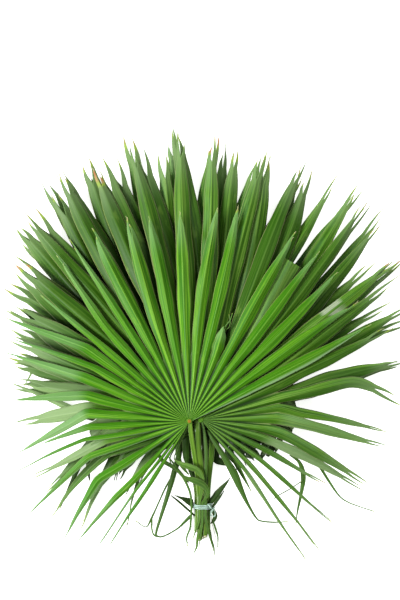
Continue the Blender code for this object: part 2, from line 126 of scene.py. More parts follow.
def shoulder(degrees):
    """1 ahead and 0 at the sides: a logistic step at the shoulder of that side."""
    edge = np.where(degrees > 0, SHOULDER_RIGHT, SHOULDER_LEFT)
    return 1.0 / (1.0 + np.exp((np.abs(degrees) - edge) / SHOULDER_SOFTNESS))


def rim(degrees):
    """Reach of the bunch: the side's reach mixed to the reach ahead, less a loss low down."""
    side = np.where(degrees > 0, RIM_RIGHT, RIM_LEFT)
    loss = LOW_SIDE_LOSS * np.maximum(0.0, np.abs(degrees) - LOW_SIDE)
    return mix(side, RIM_AHEAD, shoulder(degrees)) - loss


def layer_height(level, xy):
    """Height of a leaf: hub height to tip height by the square of the share, plus an arch."""
    away = xy - RIM_CENTRE
    share = np.linalg.norm(away, axis=-1) / rim(np.degrees(np.arctan2(away[..., 0], away[..., 1])))
    share = np.minimum(share, DOME_END)
    arch = ARCH * np.sin(math.pi * np.minimum(share, 1.0)) ** 2
    hub = HUB_REST + HUB_SPACING * level
    return mix(hub, TIP_REST + TIP_SPACING * level, share * share) + arch


print("rim ahead, left, right:", [round(float(rim(np.array(d))), 3) for d in (0.0, -90.0, 90.0)])

# %% [markdown]
# ## The leaves
# Each leaf has its own hub, fan range and number of segments, and a seed that settles how
# its segments differ. In the photo the top leaf is a smaller and brighter one. One of its
# segments is torn short, and one segment of the leaf under it is cut off square.

# %% Leaves
LEAVES = {
    "leaf_top": dict(
        level=4, bend=20.0, hub=(-23.0, 6.0), fan=(-150.5, 65.5), segments=27, share=0.765,
        side_share=0.96, split=98.0, fold=0.72, seed=11, torn={21: 150.0},
    ),
    "leaf_second": dict(
        level=3, bend=17.0, hub=(-6.0, 9.0), fan=(-106.0, 148.0), segments=29, share=0.985,
        side_share=0.985, split=118.0, fold=0.56, seed=22, cut={15: 264.0},
    ),
    "leaf_third": dict(
        level=2, bend=26.0, hub=(10.0, 1.0), fan=(-118.0, 118.0), segments=26, share=1.0,
        side_share=1.0, split=130.0, fold=0.54, seed=33,
    ),
    "leaf_fourth": dict(
        level=1, bend=34.0, hub=(-34.0, 9.0), fan=(-146.0, 112.0), segments=28, share=0.975,
        side_share=0.99, split=126.0, fold=0.54, seed=44,
    ),
    "leaf_lowest": dict(
        level=0, bend=40.0, hub=(0.0, 0.0), fan=(-124.0, 141.0), segments=28, share=1.0,
        side_share=0.98, split=132.0, fold=0.5, seed=55,
    ),
}
BLADE_THICKNESS = 1.0 * MM
HUB_ARC = 4.0 * MM
WIDENING, LOW_SPLIT, NARROWEST = 0.42, 0.36, 1.2 * MM
BEND_FROM, BEND_FULL, BEND_FADE, BEND_GONE, BEND_KEPT = 60.0, 84.0, 110.0, 150.0, 0.2
NARROW_FROM, NARROW_FULL = 92.0, 132.0
SPLIT_LOW_FROM, LOW_FROM, LOW_SPAN = 80.0, 75.0, 50.0
DRAWN = dict(
    share=(0.93, 1.015), lean=(-0.022, 0.022), low_lean=(-0.04, 0.13), lift=(-0.9, 0.9),
    twist=(-0.13, 0.13), width=(0.86, 1.0), fork=(0.84, 0.91), uneven=(-0.03, 0.03),
    spread=(0.25, 0.8), crease=(0.52, 0.6), bend=(0.86, 1.1), slim=(0.42, 0.72),
)
CREASE_BLEND = 6.0 * MM


def reach(leaf, degrees):
    """Rim times the leaf's share, less how far its hub already lies that way."""
    share = mix(leaf["side_share"], leaf["share"], shoulder(degrees))
    offset = np.array(leaf["hub"]) * MM - RIM_CENTRE
    return rim(degrees) * share - heading(np.radians(degrees))[..., :2] @ offset


def split_at(leaf, degrees):
    """Where the segments part, nearer to the hub for the low ones."""
    low = ramp(np.abs(degrees), SPLIT_LOW_FROM, LOW_SPAN)
    return leaf["split"] * MM * mix(1.0, LOW_SPLIT, low)


def bend_at(leaf, degrees):
    """How far a segment turns at its crease: none ahead, most at the side, little below."""
    begun = ramp(np.abs(degrees), BEND_FROM, BEND_FULL - BEND_FROM)
    faded = ramp(np.abs(degrees), BEND_FADE, BEND_GONE - BEND_FADE)
    return np.radians(leaf["bend"]) * begun * mix(1.0, BEND_KEPT, faded)


def draw_segments(leaf):
    """The seeded length, lean, lift, twist, width, crease and split of each segment."""
    draw = random.Random(leaf["seed"])
    first, last = leaf["fan"]
    count = leaf["segments"]
    degrees = first + (np.arange(count) + 0.5) * (last - first) / count
    rows = [[draw.uniform(*ends) for ends in DRAWN.values()] for _ in range(count)]
    seg = dict(zip(DRAWN, np.array(rows).T))
    low = ramp(np.abs(degrees), LOW_FROM, LOW_SPAN)
    narrow = ramp(np.abs(degrees), NARROW_FROM, NARROW_FULL - NARROW_FROM)
    seg.update(
        degrees=degrees, low=low, half_step=math.radians((last - first) / count / 2),
        length=reach(leaf, degrees) * seg.pop("share"),
        lean=seg["lean"] + np.where(degrees > 0, 1.0, -1.0) * low * seg.pop("low_lean"),
        lift=seg["lift"] * MM, bend=np.sign(degrees) * bend_at(leaf, degrees) * seg["bend"],
        slim=mix(1.0, seg["slim"], narrow), cut=np.zeros(count, bool), torn=np.zeros(count, bool),
    )
    for kind in ("torn", "cut"):
        for i, length in leaf.get(kind, {}).items():
            seg["length"][i], seg[kind][i] = length * MM, True
    seg["fork"][seg["cut"]] = 1.0
    return seg


print("segments:", sum(leaf["segments"] for leaf in LEAVES.values()))

# %% [markdown]
# ## One blade as a surface
# A pleated fan could be folded from a flat sheet with a Displace modifier, but its segments
# would then not part. Here every half segment is a small grid of its own: rows run from hub
# to tip and columns from valley to rib. Neighbouring grids share their border points where
# the blade is whole, and part where it is split, so one formula gives pleats, splits, split
# tips and the dry threads at their ends.

# %% Blade grid
JOINED_ROWS, FREE_ROWS, TIP_ROWS, THREAD_ROWS, COLUMNS = 12, 26, 7, 5, 6
JOINED_STEPS = (np.linspace(0.0, 1.0, JOINED_ROWS + 1) ** 1.15)[None, None, :, None]
SAG = -0.07
RNG = np.random.default_rng(7)


def column(values):
    """One value a segment, shaped to spread over its halves, rows and columns."""
    return np.asarray(values)[:, None, None, None]


def each_segment(seg):
    """Every value that a segment has one of, so shaped."""
    return {key: column(values) for key, values in seg.items() if np.ndim(values) == 1}


def steps(count, begin=1):
    """Even steps up to 1 along the rows, begun after 0 or at it."""
    return np.linspace(0.0, 1.0, count + 1)[begin:][None, None, :, None]


def raised(xy, z):
    """Places on the table with their heights."""
    return np.concatenate([xy, z[..., None]], axis=-1)


def across_half():
    """Position across a segment, -1 and 1 at the valleys and 0 at the rib, for both halves."""
    c = np.linspace(0.0, 1.0, COLUMNS)
    return np.stack([c - 1.0, c])[None, :, None, :]


def pleat(across):
    """Height over the pleat: straight from valley to rib with a slight hollow between."""
    rise = 1.0 - np.abs(across)
    return rise + SAG * np.sin(math.pi * rise) - 0.5


def middle_line(leaf, seg, share, longer=1.0):
    """A segment's middle line, straight to the crease and then turned: place and direction."""
    length = mix(split_at(leaf, seg["degrees"]), seg["length"], share) * longer
    beyond = length - seg["crease"] * seg["length"]
    turn = np.radians(seg["degrees"]) + seg["lean"] * share * share
    turn = turn + seg["sway"] * np.sin(share * 5.0 + seg["phase"]) + seg["aim"]
    bent = turn + seg["bend"]
    past = (seg["round"] * np.logaddexp(0.0, beyond / seg["round"]))[..., None]
    xy = np.array(leaf["hub"]) * MM + heading(turn)[..., :2] * (length[..., None] - past)
    xy = xy + heading(bent)[..., :2] * past
    return xy, mix(turn, bent, smooth(beyond / (CREASE_BLEND + 3.0 * seg["round"]) + 0.5)), beyond


def joined_rows(leaf, seg, across, share):
    """The whole part of the fan: polar rows about the hub, lifted by dome and pleat."""
    degrees, aim = column(seg["degrees"]), column(seg["aim"])
    valley = split_at(leaf, degrees + np.degrees(seg["half_step"]) * np.sign(across))
    radius = mix(HUB_ARC, mix(split_at(leaf, degrees), valley, np.abs(across)), share)
    beside = np.where(across < 0, column(seg["aim_before"]), column(seg["aim_after"]))
    aim = mix(aim, beside, np.abs(across))
    angle = np.radians(degrees) + seg["half_step"] * across + aim
    xy = np.array(leaf["hub"]) * MM + heading(angle)[..., :2] * radius[..., None]
    rise = leaf["fold"] * radius * math.tan(seg["half_step"]) * pleat(across)
    return raised(xy, layer_height(leaf["level"], xy) + rise)


def free_rows(leaf, seg, across, share):
    """A free segment: straight on from the split, widening, then tapering by a high power."""
    pick = each_segment(seg)
    start = split_at(leaf, pick["degrees"])
    middle, facing, beyond = middle_line(leaf, pick, share)
    grown = mix(1.0, pick["width"] * (1.0 + WIDENING) * pick["slim"], smooth(share * 2.2))
    taper = np.where(pick["cut"], 1.0, 1.0 - share ** pick["power"])
    half = np.maximum(start * math.tan(seg["half_step"]) * grown * taper, NARROWEST)
    ripple = 1.0 + 0.05 * np.sin(share * 19.0 + pick["phase"] * 3.0) * np.abs(across)
    xy = middle + heading(facing + math.pi / 2)[..., :2] * (half * ripple * across)[..., None]
    rise = leaf["fold"] * half * pleat(across) + pick["twist"] * half * across
    rise = rise + pick["lift"] * smooth(share)
    height = np.maximum(layer_height(leaf["level"], xy) + rise, BLADE_THICKNESS)
    bent = np.abs(pick["bend"]) * smooth(beyond / (4 * CREASE_BLEND) + 0.2)
    return raised(xy, height), half, bent * np.ones_like(height)


def blade_points(leaf, seg):
    """Rows of the whole and the free part, and half the width and the turn of the free ones."""
    across = across_half() * np.ones((leaf["segments"], 1, 1, 1))
    joined = joined_rows(leaf, seg, across, JOINED_STEPS)
    share = column(seg["fork"]) * steps(FREE_ROWS, 0)
    free, half, bent = free_rows(leaf, seg, across, share)
    fade = 1.0 - smooth(share / 0.25)
    free = free + (joined[:, :, -1:] - free[:, :, :1]) * fade[..., None]
    return joined, free[:, :, 1:], half[:, :, -1:], bent[:, :, 1:]


def tip_rows(leaf, seg, base, half):
    """Each half of a split tip draws in to a narrow end, which runs on as a thread."""
    pick = each_segment(seg)
    side = np.array([-1.0, 1.0])[None, :, None, None]
    middle, turn, _ = middle_line(leaf, pick, 1.0, 1.0 + pick["uneven"] * side)
    along, out = heading(turn), heading(turn + math.pi / 2)
    centre = raised(middle, np.zeros_like(middle[..., 0]))
    centre = centre + out * (side * half * pick["spread"])[..., None]
    height = np.maximum(layer_height(leaf["level"], centre[..., :2]) + pick["lift"], BLADE_THICKNESS)
    centre[..., 2] = np.where(pick["rests"], BLADE_THICKNESS, height)
    c, width = np.linspace(-0.5, 0.5, COLUMNS)[None, None, None, :, None], pick["neck"][..., None]
    neck = centre + out * (c * width)
    t, u = steps(TIP_ROWS)[..., None], steps(THREAD_ROWS)[..., None]
    bulge = out * (side * half)[..., None] * 0.16 * np.sin(math.pi * t)
    tips = mix(base, neck, t) + bulge
    reach_on = heading(turn + seg["thread_swing"][:, :, None, None] * u[..., 0])
    run = seg["thread"][:, :, None, None, None] * u
    thread = centre + reach_on * run + out * c * width * (1 - 0.7 * u)
    thread[..., 2] = neck[..., 2] + run[..., 0] * np.abs(seg["thread_rise"][:, :, None, None])
    cut = pick["cut"][..., None]
    tips = np.where(cut, base + along * 0.4 * MM * t, tips)
    return tips, np.where(cut, base + along * (0.4 + 0.2 * u) * MM, thread)


def blade_index(count, rows):
    """Point numbers of every grid, with shared borders where the blade is whole."""
    index = np.arange(count * 2 * rows * COLUMNS).reshape(count, 2, rows, COLUMNS)
    whole = 1 + JOINED_ROWS
    forked = whole + FREE_ROWS
    index[:, 1, :forked, 0] = index[:, 0, :forked, -1]
    index[1:, 0, :whole, 0] = index[:-1, 1, :whole, -1]
    return index


print("rows a segment:", 1 + JOINED_ROWS + FREE_ROWS + TIP_ROWS + THREAD_ROWS)

# %% [markdown]
# ## From arrays to a mesh
# The point and face arrays go into a mesh with foreach_set, unused points are dropped, and
# each corner gets its place on the segment as a UV: across it from 0 to 1, and along it in
# metres. Attributes hold what differs from segment to segment, for the materials to read.

# %% Mesh from arrays
def new_mesh(name, points, quads, uv=None, attributes=None):
    """A mesh from points and quads: unused points dropped, shading smooth."""
    used, compact = np.unique(quads, return_inverse=True)
    quads = compact.reshape(quads.shape)
    mesh = bpy.data.meshes.new(name)
    mesh.vertices.add(len(used))
    mesh.vertices.foreach_set("co", points[used].astype(np.float32).ravel())
    mesh.loops.add(quads.size)
    mesh.loops.foreach_set("vertex_index", quads.astype(np.int32).ravel())
    mesh.polygons.add(len(quads))
    mesh.polygons.foreach_set("loop_start", np.arange(len(quads), dtype=np.int32) * 4)
    mesh.polygons.foreach_set("use_smooth", np.ones(len(quads), bool))
    mesh.update(calc_edges=True)
    if uv is not None:
        layer = mesh.uv_layers.new(name="leaf_uv")
        layer.data.foreach_set("uv", uv.astype(np.float32).ravel())
    for key, values in (attributes or {}).items():
        held = mesh.attributes.new(key, "FLOAT", "POINT")
        held.data.foreach_set("value", values[used].astype(np.float32))
    return mesh


def new_piece(name, shape, finish, thickness=0.0, replaces=()):
    """A piece that rides with the bunch, from its shape, finish and thickness, hiding what it replaces."""
    mesh = new_mesh(name, *shape)
    obj = link_new(name, mesh)
    mesh.materials.append(finish)
    if thickness:
        wall = obj.modifiers.new("thickness", "SOLIDIFY")
        wall.thickness = thickness
        wall.offset = -1.0
        wall.use_even_offset = False
    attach(obj, "root")
    if replaces:
        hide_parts(*replaces)
    return mesh


def grid_quads(index):
    """Quads between neighbouring rows and columns of a grid of point numbers."""
    a, b = index[..., :-1, :-1], index[..., :-1, 1:]
    c, d = index[..., 1:, 1:], index[..., 1:, :-1]
    return np.stack([a, b, c, d], axis=-1).reshape(-1, 4)


# %% [markdown]
# ## Colour
# Colours are picked as sRGB hex values, as a paint program shows them, and one function
# turns them to the linear values that the render works in.

# %% Colour and node helpers
def linear(hex_colour):
    """sRGB hex to linear: divide by 12.92 near black, else the 2.4 power of the curve."""
    channels = np.array([int(hex_colour[i : i + 2], 16) for i in (1, 3, 5)]) / 255.0
    low, high = channels / 12.92, ((channels + 0.055) / 1.055) ** 2.4
    return (*np.where(channels <= 0.04045, low, high), 1.0)


def fill(tree, node, **inputs):
    """Sets or links the inputs of a node, by name or by number."""
    for key, value in inputs.items():
        key = int(key[1:]) if key[0] == "_" else key.replace("_", " ")
        if isinstance(value, bpy.types.NodeSocket):
            tree.links.new(value, node.inputs[key])
        else:
            node.inputs[key].default_value = value


def add(tree, kind, settings=None, **inputs):
    """Adds a node with its settings and its inputs."""
    made = tree.nodes.new(kind)
    for key, value in (settings or {}).items():
        setattr(made, key, value)
    fill(tree, made, **inputs)
    return made


def math_node(tree, operation, a, b=0.0):
    """One arithmetic step on two values."""
    return add(tree, "ShaderNodeMath", {"operation": operation}, _0=a, _1=b).outputs[0]


def times(tree, a, b):
    """The product of two values."""
    return math_node(tree, "MULTIPLY", a, b)


def blend(tree, share, a, b):
    """A mix of two colours by a share, each a socket or a hex value."""
    a, b = (linear(colour) if isinstance(colour, str) else colour for colour in (a, b))
    return add(tree, "ShaderNodeMix", {"data_type": "RGBA"}, _0=share, _6=a, _7=b).outputs[2]


def bump(tree, height, strength, deep):
    """A bent normal from a height, so deep at its full strength."""
    return add(tree, "ShaderNodeBump", Strength=strength, Distance=deep, Height=height).outputs[0]


def step(tree, value, low, high, start=0.0, end=1.0):
    """A soft step of a value from low to high, giving start to end."""
    kind = {"interpolation_type": "SMOOTHSTEP"}
    return add(tree, "ShaderNodeMapRange", kind, _0=value, _1=low, _2=high, _3=start, _4=end).outputs[0]


def new_finish(name):
    """A new material, its node tree and its surface shader."""
    made = bpy.data.materials.new(name)
    made.use_nodes = True
    return made, made.node_tree, made.node_tree.nodes["Principled BSDF"]


print("top leaf green, linear:", [round(float(v), 3) for v in linear("#569406")[:3]])

# %% [markdown]
# ## Fresh palm leaf
# A fan palm leaf is a stiff sheet with a thin wax layer: satin, with long parallel veins
# that follow each segment. The veins of the real leaf are about 0.8 mm apart, which is finer
# than a pixel here, so they are drawn as streaks of 1.5 to 3 mm. The fold lines near the hub
# get painted shade, the free edges are pale, and a segment that is bent over shows its paler
# back. The tips dry to tan and orange-brown. A painted sheen on the lamp side of some segments,
# painted shade on one half of the side segments and painted shade under upper leaves go on top.

# %% Fresh palm leaf
YELLOWING, TAN, ORANGE_BROWN = "#86A03C", "#A08A54", "#A8663A"
# The blue-green on the next line is a painted sheen, not a leaf colour.
GREY_SILVER, THREAD_BEIGE, PAINTED_SHEEN_BLUE, EDGE_BEIGE = "#A6B296", "#A3AE80", "#76A878", "#9A9C6E"
# Both colours on the next line are painted shade: in the fold valleys and under the leaves above.
FOLD_PAINTED_SHADE, DEEP_SHADE = "#142E02", "#0E2204"


def read(tree, name):
    """The value of a mesh attribute."""
    return add(tree, "ShaderNodeAttribute", {"attribute_name": name}).outputs["Fac"]


def on_segment(tree):
    """The place across a segment, 0 to 1, and along it, in metres, from the UVs."""
    uv = add(tree, "ShaderNodeUVMap", {"uv_map": "leaf_uv"}).outputs[0]
    return add(tree, "ShaderNodeSeparateXYZ", _0=uv).outputs[:2]


def stretched_noise(tree, place, shift, wide, long, detail):
    """Noise drawn out along the segment: a high scale across it and a low one along it."""
    across, along = place
    drawn_out = add(
        tree, "ShaderNodeCombineXYZ", X=times(tree, across, wide), Y=times(tree, along, long), Z=shift
    ).outputs[0]
    noise = add(tree, "ShaderNodeTexNoise", Vector=drawn_out, Scale=1.0, Detail=detail, Roughness=0.55)
    return noise.outputs[0]


def palm_leaf(
    name, deep, middle, pale, outer, outer_pale, rib, back, roughness, rib_share, sheen_strength, shine, depth=0.5
):
    """Three greens in streaks, painted shade and painted sheen, edges, backs and dry tips."""
    made, tree, surface = new_finish(name)
    place = on_segment(tree)
    across = place[0]
    tone, far, dry = (read(tree, key) for key in ("tone", "reach", "dry"))
    shift = times(tree, tone, 37.0)
    streak = stretched_noise(tree, place, shift, 6.5, 8.0, 3.0)
    vein = stretched_noise(tree, place, shift, 13.0, 5.0, 1.0)
    spot = stretched_noise(tree, place, shift, 2.0, 26.0, 4.0)
    off_rib = math_node(tree, "ABSOLUTE", math_node(tree, "SUBTRACT", times(tree, across, 2.0), 1.0))
    light = step(tree, streak, 0.41, 0.59)
    # Painted sheen: a bluish reflection painted on the half of the segment towards the lamp.
    painted_sheen = times(tree, step(tree, across, 0.52, 0.4), step(tree, tone, 0.5, 1.0, 0.0, sheen_strength))
    ridge = times(tree, step(tree, off_rib, 0.05, 0.3, 0.45, 0.0), step(tree, far, 0.1, 0.35, 1.0, 0.0))
    layers = (
        (step(tree, far, 0.15, 0.8, 0.0, 0.9), blend(tree, light, outer, outer_pale)),
        (times(tree, step(tree, vein, 0.5, 0.6, 0.0, 0.7), step(tree, far, 0.3, 0.9, 1.0, 0.7)), pale),
        (step(tree, vein, 0.34, 0.46, 0.65, 0.0), deep),
        (step(tree, tone, 0.0, 0.8, depth, 0.0), deep),
        (times(tree, painted_sheen, step(tree, spot, 0.35, 0.55)), PAINTED_SHEEN_BLUE),
        (step(tree, spot, 0.62, 0.74, 0.0, 0.4), pale),
        (times(tree, read(tree, "shade"), step(tree, across, 0.44, 0.56)), deep),
        # Painted shade: the fold valleys near the hub darkened where shade falls in the pleats.
        (times(tree, step(tree, off_rib, 0.42, 0.85), step(tree, far, 0.2, 0.5, 1.0, 0.0)), FOLD_PAINTED_SHADE),
        (ridge, rib),
        (step(tree, off_rib, 0.0, 0.07, rib_share, 0.0), rib),
        (times(tree, step(tree, off_rib, 0.9, 0.98), step(tree, far, 0.25, 0.45, 0.0, 0.6)), EDGE_BEIGE),
        (times(tree, read(tree, "paler"), 0.7), back),
        (times(tree, read(tree, "silver"), step(tree, vein, 0.35, 0.6, 0.65, 1.0)), GREY_SILVER),
        (step(tree, dry, 0.0, 0.35), YELLOWING),
        (step(tree, dry, 0.35, 0.65), TAN),
        (step(tree, dry, 0.7, 1.0), ORANGE_BROWN),
        (read(tree, "thread"), THREAD_BEIGE),
        # Painted shade: near-black where the leaves above cover this one.
        (read(tree, "under"), DEEP_SHADE),
    )
    colour = blend(tree, light, deep, middle)
    for share, over in layers:
        colour = blend(tree, share, colour, over)
    ends = dict(_1=0.3, _2=0.7, _3=roughness - 0.06, _4=roughness + 0.1)
    rough = add(tree, "ShaderNodeMapRange", _0=streak, **ends).outputs[0]
    relief = bump(tree, vein, 0.35, 0.4 * MM)
    fill(tree, surface, Base_Color=colour, Roughness=rough, IOR=1.42, Specular_IOR_Level=shine, Normal=relief)
    return made


TOP_LEAF = palm_leaf(
    "fresh_palm_leaf_bright", "#36740A", "#569406", "#7EB42E", "#32640C", "#4A7E14", "#98C254", "#8DB07C",
    0.46, 0.22, 0.1, 0.22,
)
LOWER_LEAF = palm_leaf(
    "fresh_palm_leaf", "#264E04", "#487810", "#72983A", "#3D6A10", "#4F801C", "#80A650", "#98B080",
    0.47, 0.12, 0.15, 0.22, 0.7,
)
# A darker copy of the leaf finish: painted shade for pieces lying in shadow between and under other parts.
SHADOWED_LEAF = palm_leaf(
    "palm_leaf_painted_shade", "#122803", "#203F08", "#36591A", "#1C3807", "#24440A", "#6C8A4A", "#7C9468",
    0.5, 0.1, 0.0, 0.12,
)
print("leaf finishes:", TOP_LEAF.name, LOWER_LEAF.name, SHADOWED_LEAF.name)

# %% [markdown]
# ## Low segments set after the photo
# The low segments of the real leaves are creased and hang over. Each row below sets one: its
# angle, how far out its crease is, where its tip ends, its half width, how much of its pale
# back it shows, and its lift. Creases and tips were read off the photo, in millimetres.

# %% Segments set one by one
CREASED = {"leaf_top": (0, (
    (-147, 168, -139, -177, 3.4, 0.1, 0), (-142.3, 130, -160, -178, 2.4, 0.5, 0.5),
    (-135.5, 157, -184, -171, 5.6, 0.3, 0), (-121.6, 160, -204, -164, 7.6, 0.0, 0),
    (-109, 158, -261, -129, 5.8, 0.15, 0.5), (-99.5, 156, -273, -65, 3.4, 0.05, 0),
    (-92.5, 150, -240, -26, 5.5, 0.45, -1), (-84.5, 153, -271, -38, 8, 0.75, 2),
    (-75.5, 157, -282, 39, 8.5, 0.5, 0), (-67, 172, -288, 105, 8.5, 0.5, 0),
    (-60, 162, -280, 128, 5, 0.0, 1.5), (-54.5, 190, -292, 160, 8, 0.35, -1),
    (-48.8, 180, -243, 193, 5.4, 0.0, 1), (-41, 190, -216, 245, 7.4, 0.0, 0),
    (-33.3, 200, -196, 272, 7, 0.0, 0),
)), "leaf_second": (20, (
    (75.5, 240, 290, 36, 9.5, 0.1, 0), (80.5, 112, 268, -7, 6.2, 0.0, 0),
    (88.5, 118, 267, -30, 8.6, 0.25, 0.5), (98.4, 122, 241, -87, 8.8, 0.05, 0.5),
    (105.2, 100, 232, -91, 7.6, 0.6, 1), (115, 112, 176, -84, 4.6, 0.1, 0),
    (123, 94, 190, -143, 3.8, 0.0, 0.5), (130.5, 96, 166, -182, 3.8, 0.05, 1),
    (137.5, 96, 148, -196, 3.2, 0.3, 1.5),
)), "leaf_lowest": (20, (
    (72.8, 236, 292, 90, 8.5, 0.2, 0),
))}


def aim_creased(leaf, seg, begin, rows):
    """Sets low segments by angle, crease distance, tip, half width, paleness and lift."""
    angle, crease, tip_x, tip_y, half, back, lift = np.array(rows).T
    first = slice(begin, begin + len(angle))
    at_crease = np.array(leaf["hub"]) + heading(np.radians(angle))[:, :2] * crease[:, None]
    onward = np.stack([tip_x, tip_y], axis=-1) - at_crease
    beyond = np.linalg.norm(onward, axis=-1)
    seg["lean"][first] = 0.0
    seg["aim"][first] = np.radians(angle - seg["degrees"][first])
    seg["bend"][first] = np.arctan2(onward[:, 0], onward[:, 1]) - np.radians(angle)
    seg["crease"][first] = crease / (crease + beyond)
    seg["length"][first] = (crease + beyond) * MM
    seg["lift"][first] = lift * MM
    at_split = split_at(leaf, seg["degrees"][first]) * math.tan(seg["half_step"])
    seg["width"][first] = half * MM / at_split / (1.0 + WIDENING)
    seg["slim"][first] = 1.0
    seg["power"][first] = np.where(crease > 200, 5.0, 3.0)
    seg["shows_back"][first] = back / np.clip(np.abs(seg["bend"][first]) / 0.35, 0.05, 1.0)
    seg["fades"][first] = 0.5


print("segments set by hand:", sum(len(rows) for _, rows in CREASED.values()))

# %% [markdown]
# ## What tells segments apart
# Other segments follow formulas of their direction and seeded random numbers. The top leaf's
# tips stay closed and dry to a small orange point, the others split and run out in threads.
# Low segments of the lower leaves are drawn short where the photo shows white between them.

# %% Segment character
RESTING_EVERY, BURNT_SHARE, LONG_THREADS, SHORT_THREAD = 4, 0.06, 0.45, 0.35
TOP_THREAD, TOP_SPREAD, TOP_WIDER, HIDDEN_THREAD = 0.2, 0.04, 1.13, 0.5 * MM
SILVER_AT, SILVER_AIM, CUT_AIM, CUT_WIDER, BURNT_SEGMENT = 47.3, 3.0, 1.4, 1.3, 9
LENGTH_EVENED, AHEAD_LONGER, LOW_SHORTER, FORK_DEEPER = 0.85, 1.027, 0.86, 0.05
HIDDEN_FROM, HIDDEN_RIGHT = -82.0, (62.0, 62.0, 76.0)
HIDDEN_SHARE_LEFT, HIDDEN_SHARE_RIGHT = 0.64, 0.44
POWER_AT = (-100, -72, -25, 0, 20, 45, 75, 100)
POWER = (2.6, 4.0, 7.0, 6.4, 4.8, 3.0, 2.6, 2.4)
WIDER_AT, WIDER = (-96, -72, -25, 20, 45, 96), (1.0, 1.1, 1.2, 1.1, 0.95, 0.95)


def finish_segments(name, leaf):
    """Adds what only the render needs: sway, threads, dryness and paleness of each segment."""
    seg = draw_segments(leaf)
    count, level, degrees = leaf["segments"], leaf["level"], seg["degrees"]
    top, on_right = name == "leaf_top", degrees > 0
    whole, hidden = ~(seg["torn"] | seg["cut"]), np.zeros(count, bool)

    def vary(low, high, *halves):
        """A random value for each segment, or for each of its halves."""
        return RNG.uniform(low, high, (count, *halves))

    full = reach(leaf, degrees)
    seg["length"] = np.where(whole, full - (full - seg["length"]) * LENGTH_EVENED, seg["length"])
    if not top:
        seg["length"] = seg["length"] * np.where(np.abs(degrees - 5.0) < 45.0, AHEAD_LONGER, 1.0)
        seg["length"] = seg["length"] * mix(1.0, LOW_SHORTER, ramp(np.abs(degrees + 7.0), 97.0, 30.0))
        hidden = (degrees < HIDDEN_FROM) & (np.arange(count) % 2 == level % 2)
        if level < 3:
            hidden |= (np.abs(degrees + 90.0) < 14.0) | (degrees > HIDDEN_RIGHT[level])
        kept_share = np.where(on_right, HIDDEN_SHARE_RIGHT, HIDDEN_SHARE_LEFT)
        seg["length"] = np.where(hidden, kept_share * seg["length"], seg["length"])
        ahead = 1.0 - ramp(np.abs(degrees), 35.0, 20.0)
        seg["fork"] = np.where(seg["cut"], 1.0, seg["fork"] - mix(FORK_DEEPER, -0.02, ahead))
    seg["aim"] = np.zeros(count)
    seg["lean"] = seg["lean"] + vary(-0.03, 0.03) * (0.5 if top else 1.0)
    seg["power"] = np.interp(degrees, POWER_AT, POWER) * vary(0.85, 1.15)
    seg["round"] = np.where(on_right, vary(8.0, 22.0), vary(0.4, 4.0)) * MM
    seg["width"] = seg["width"] * (TOP_WIDER if top else np.interp(degrees, WIDER_AT, WIDER))
    seg["sway"] = vary(0.001, 0.006) * (1.0 + 1.5 * seg["low"])
    seg["phase"] = vary(0.0, 6.0)
    seg["twist"] = seg["twist"] * 2.0
    seg["neck"] = vary(1.0, 1.5) * MM
    long_thread = np.where(RNG.random((count, 2)) < LONG_THREADS, 1.0, SHORT_THREAD)
    thread = vary(8.0, 28.0, 2) * MM * long_thread * (TOP_THREAD if top else 1.0)
    seg["thread"] = np.where(hidden[:, None], HIDDEN_THREAD, thread)
    seg["thread_swing"], seg["thread_rise"] = vary(-0.9, 0.9, 2), vary(0.0, 0.1, 2)
    seg["rests"] = (np.arange(count) % RESTING_EVERY == 1) & (level == 0)
    seg["spread"] = seg["spread"] * (TOP_SPREAD if top else 1.0)
    burnt = RNG.random(count) < BURNT_SHARE
    seg["dry_run"] = np.where(burnt, vary(0.03, 0.06), vary(0.02, 0.05))
    seg["dries"] = np.where(burnt, 1.0, vary(0.0, 0.6))
    if top:
        seg["dry_run"] = vary(0.012, 0.022)
        seg["dries"] = vary(0.3, 1.0) * ramp(degrees, -66.0, 8.0)
    seg["dries"] = np.where(whole & ~hidden, seg["dries"], 0.0)
    if name == "leaf_second":
        seg["dry_run"][BURNT_SEGMENT], seg["dries"][BURNT_SEGMENT] = 0.06, 0.9
        seg["aim"][np.argmin(np.abs(degrees - SILVER_AT))] = math.radians(SILVER_AIM)
        seg["aim"][seg["cut"]] = math.radians(CUT_AIM)
        seg["width"][seg["cut"]] *= CUT_WIDER
    seg["shows_back"] = vary(0.1, 1.0) * (1.0 if level >= 3 else 0.5) * np.where(on_right, 0.25, 1.0)
    seg["fades"] = vary(0.1, 0.9) * np.where(on_right, 0.3 + 0.7 * seg["low"], 1.0)
    seg["fades"] = seg["fades"] * ramp(np.abs(degrees), np.where(on_right, 58.0, 46.0), 20.0)
    if name in CREASED:
        aim_creased(leaf, seg, *CREASED[name])
    between = (seg["aim"][1:] + seg["aim"][:-1]) / 2
    seg["aim_before"] = np.append(seg["aim"][0], between)
    seg["aim_after"] = np.append(between, seg["aim"][-1])
    seg["shade"] = vary(0.25, 0.85) * ramp(np.abs(degrees), 45.0, 25.0)
    return seg


# %% [markdown]
# ## Building the five blades
# Every blade is made by the same steps: points, shared borders, and the attributes that its
# finish reads, such as how far out a point is, how dry, how pale and how much painted shade it gets.

# %% Blades
PLEAT_SHARE, BLADE_SHEET, TIP_PALE, LOW_RIGHT_LIGHTER = 0.95, 0.7 * MM, 0.45, 0.65
SILVER_RUNS = (0.236, 0.272), (0.247, 0.268)
UNDER_SHADE_SHARE = (0.85, 0.75, 0.45, 0.0, 0.0)


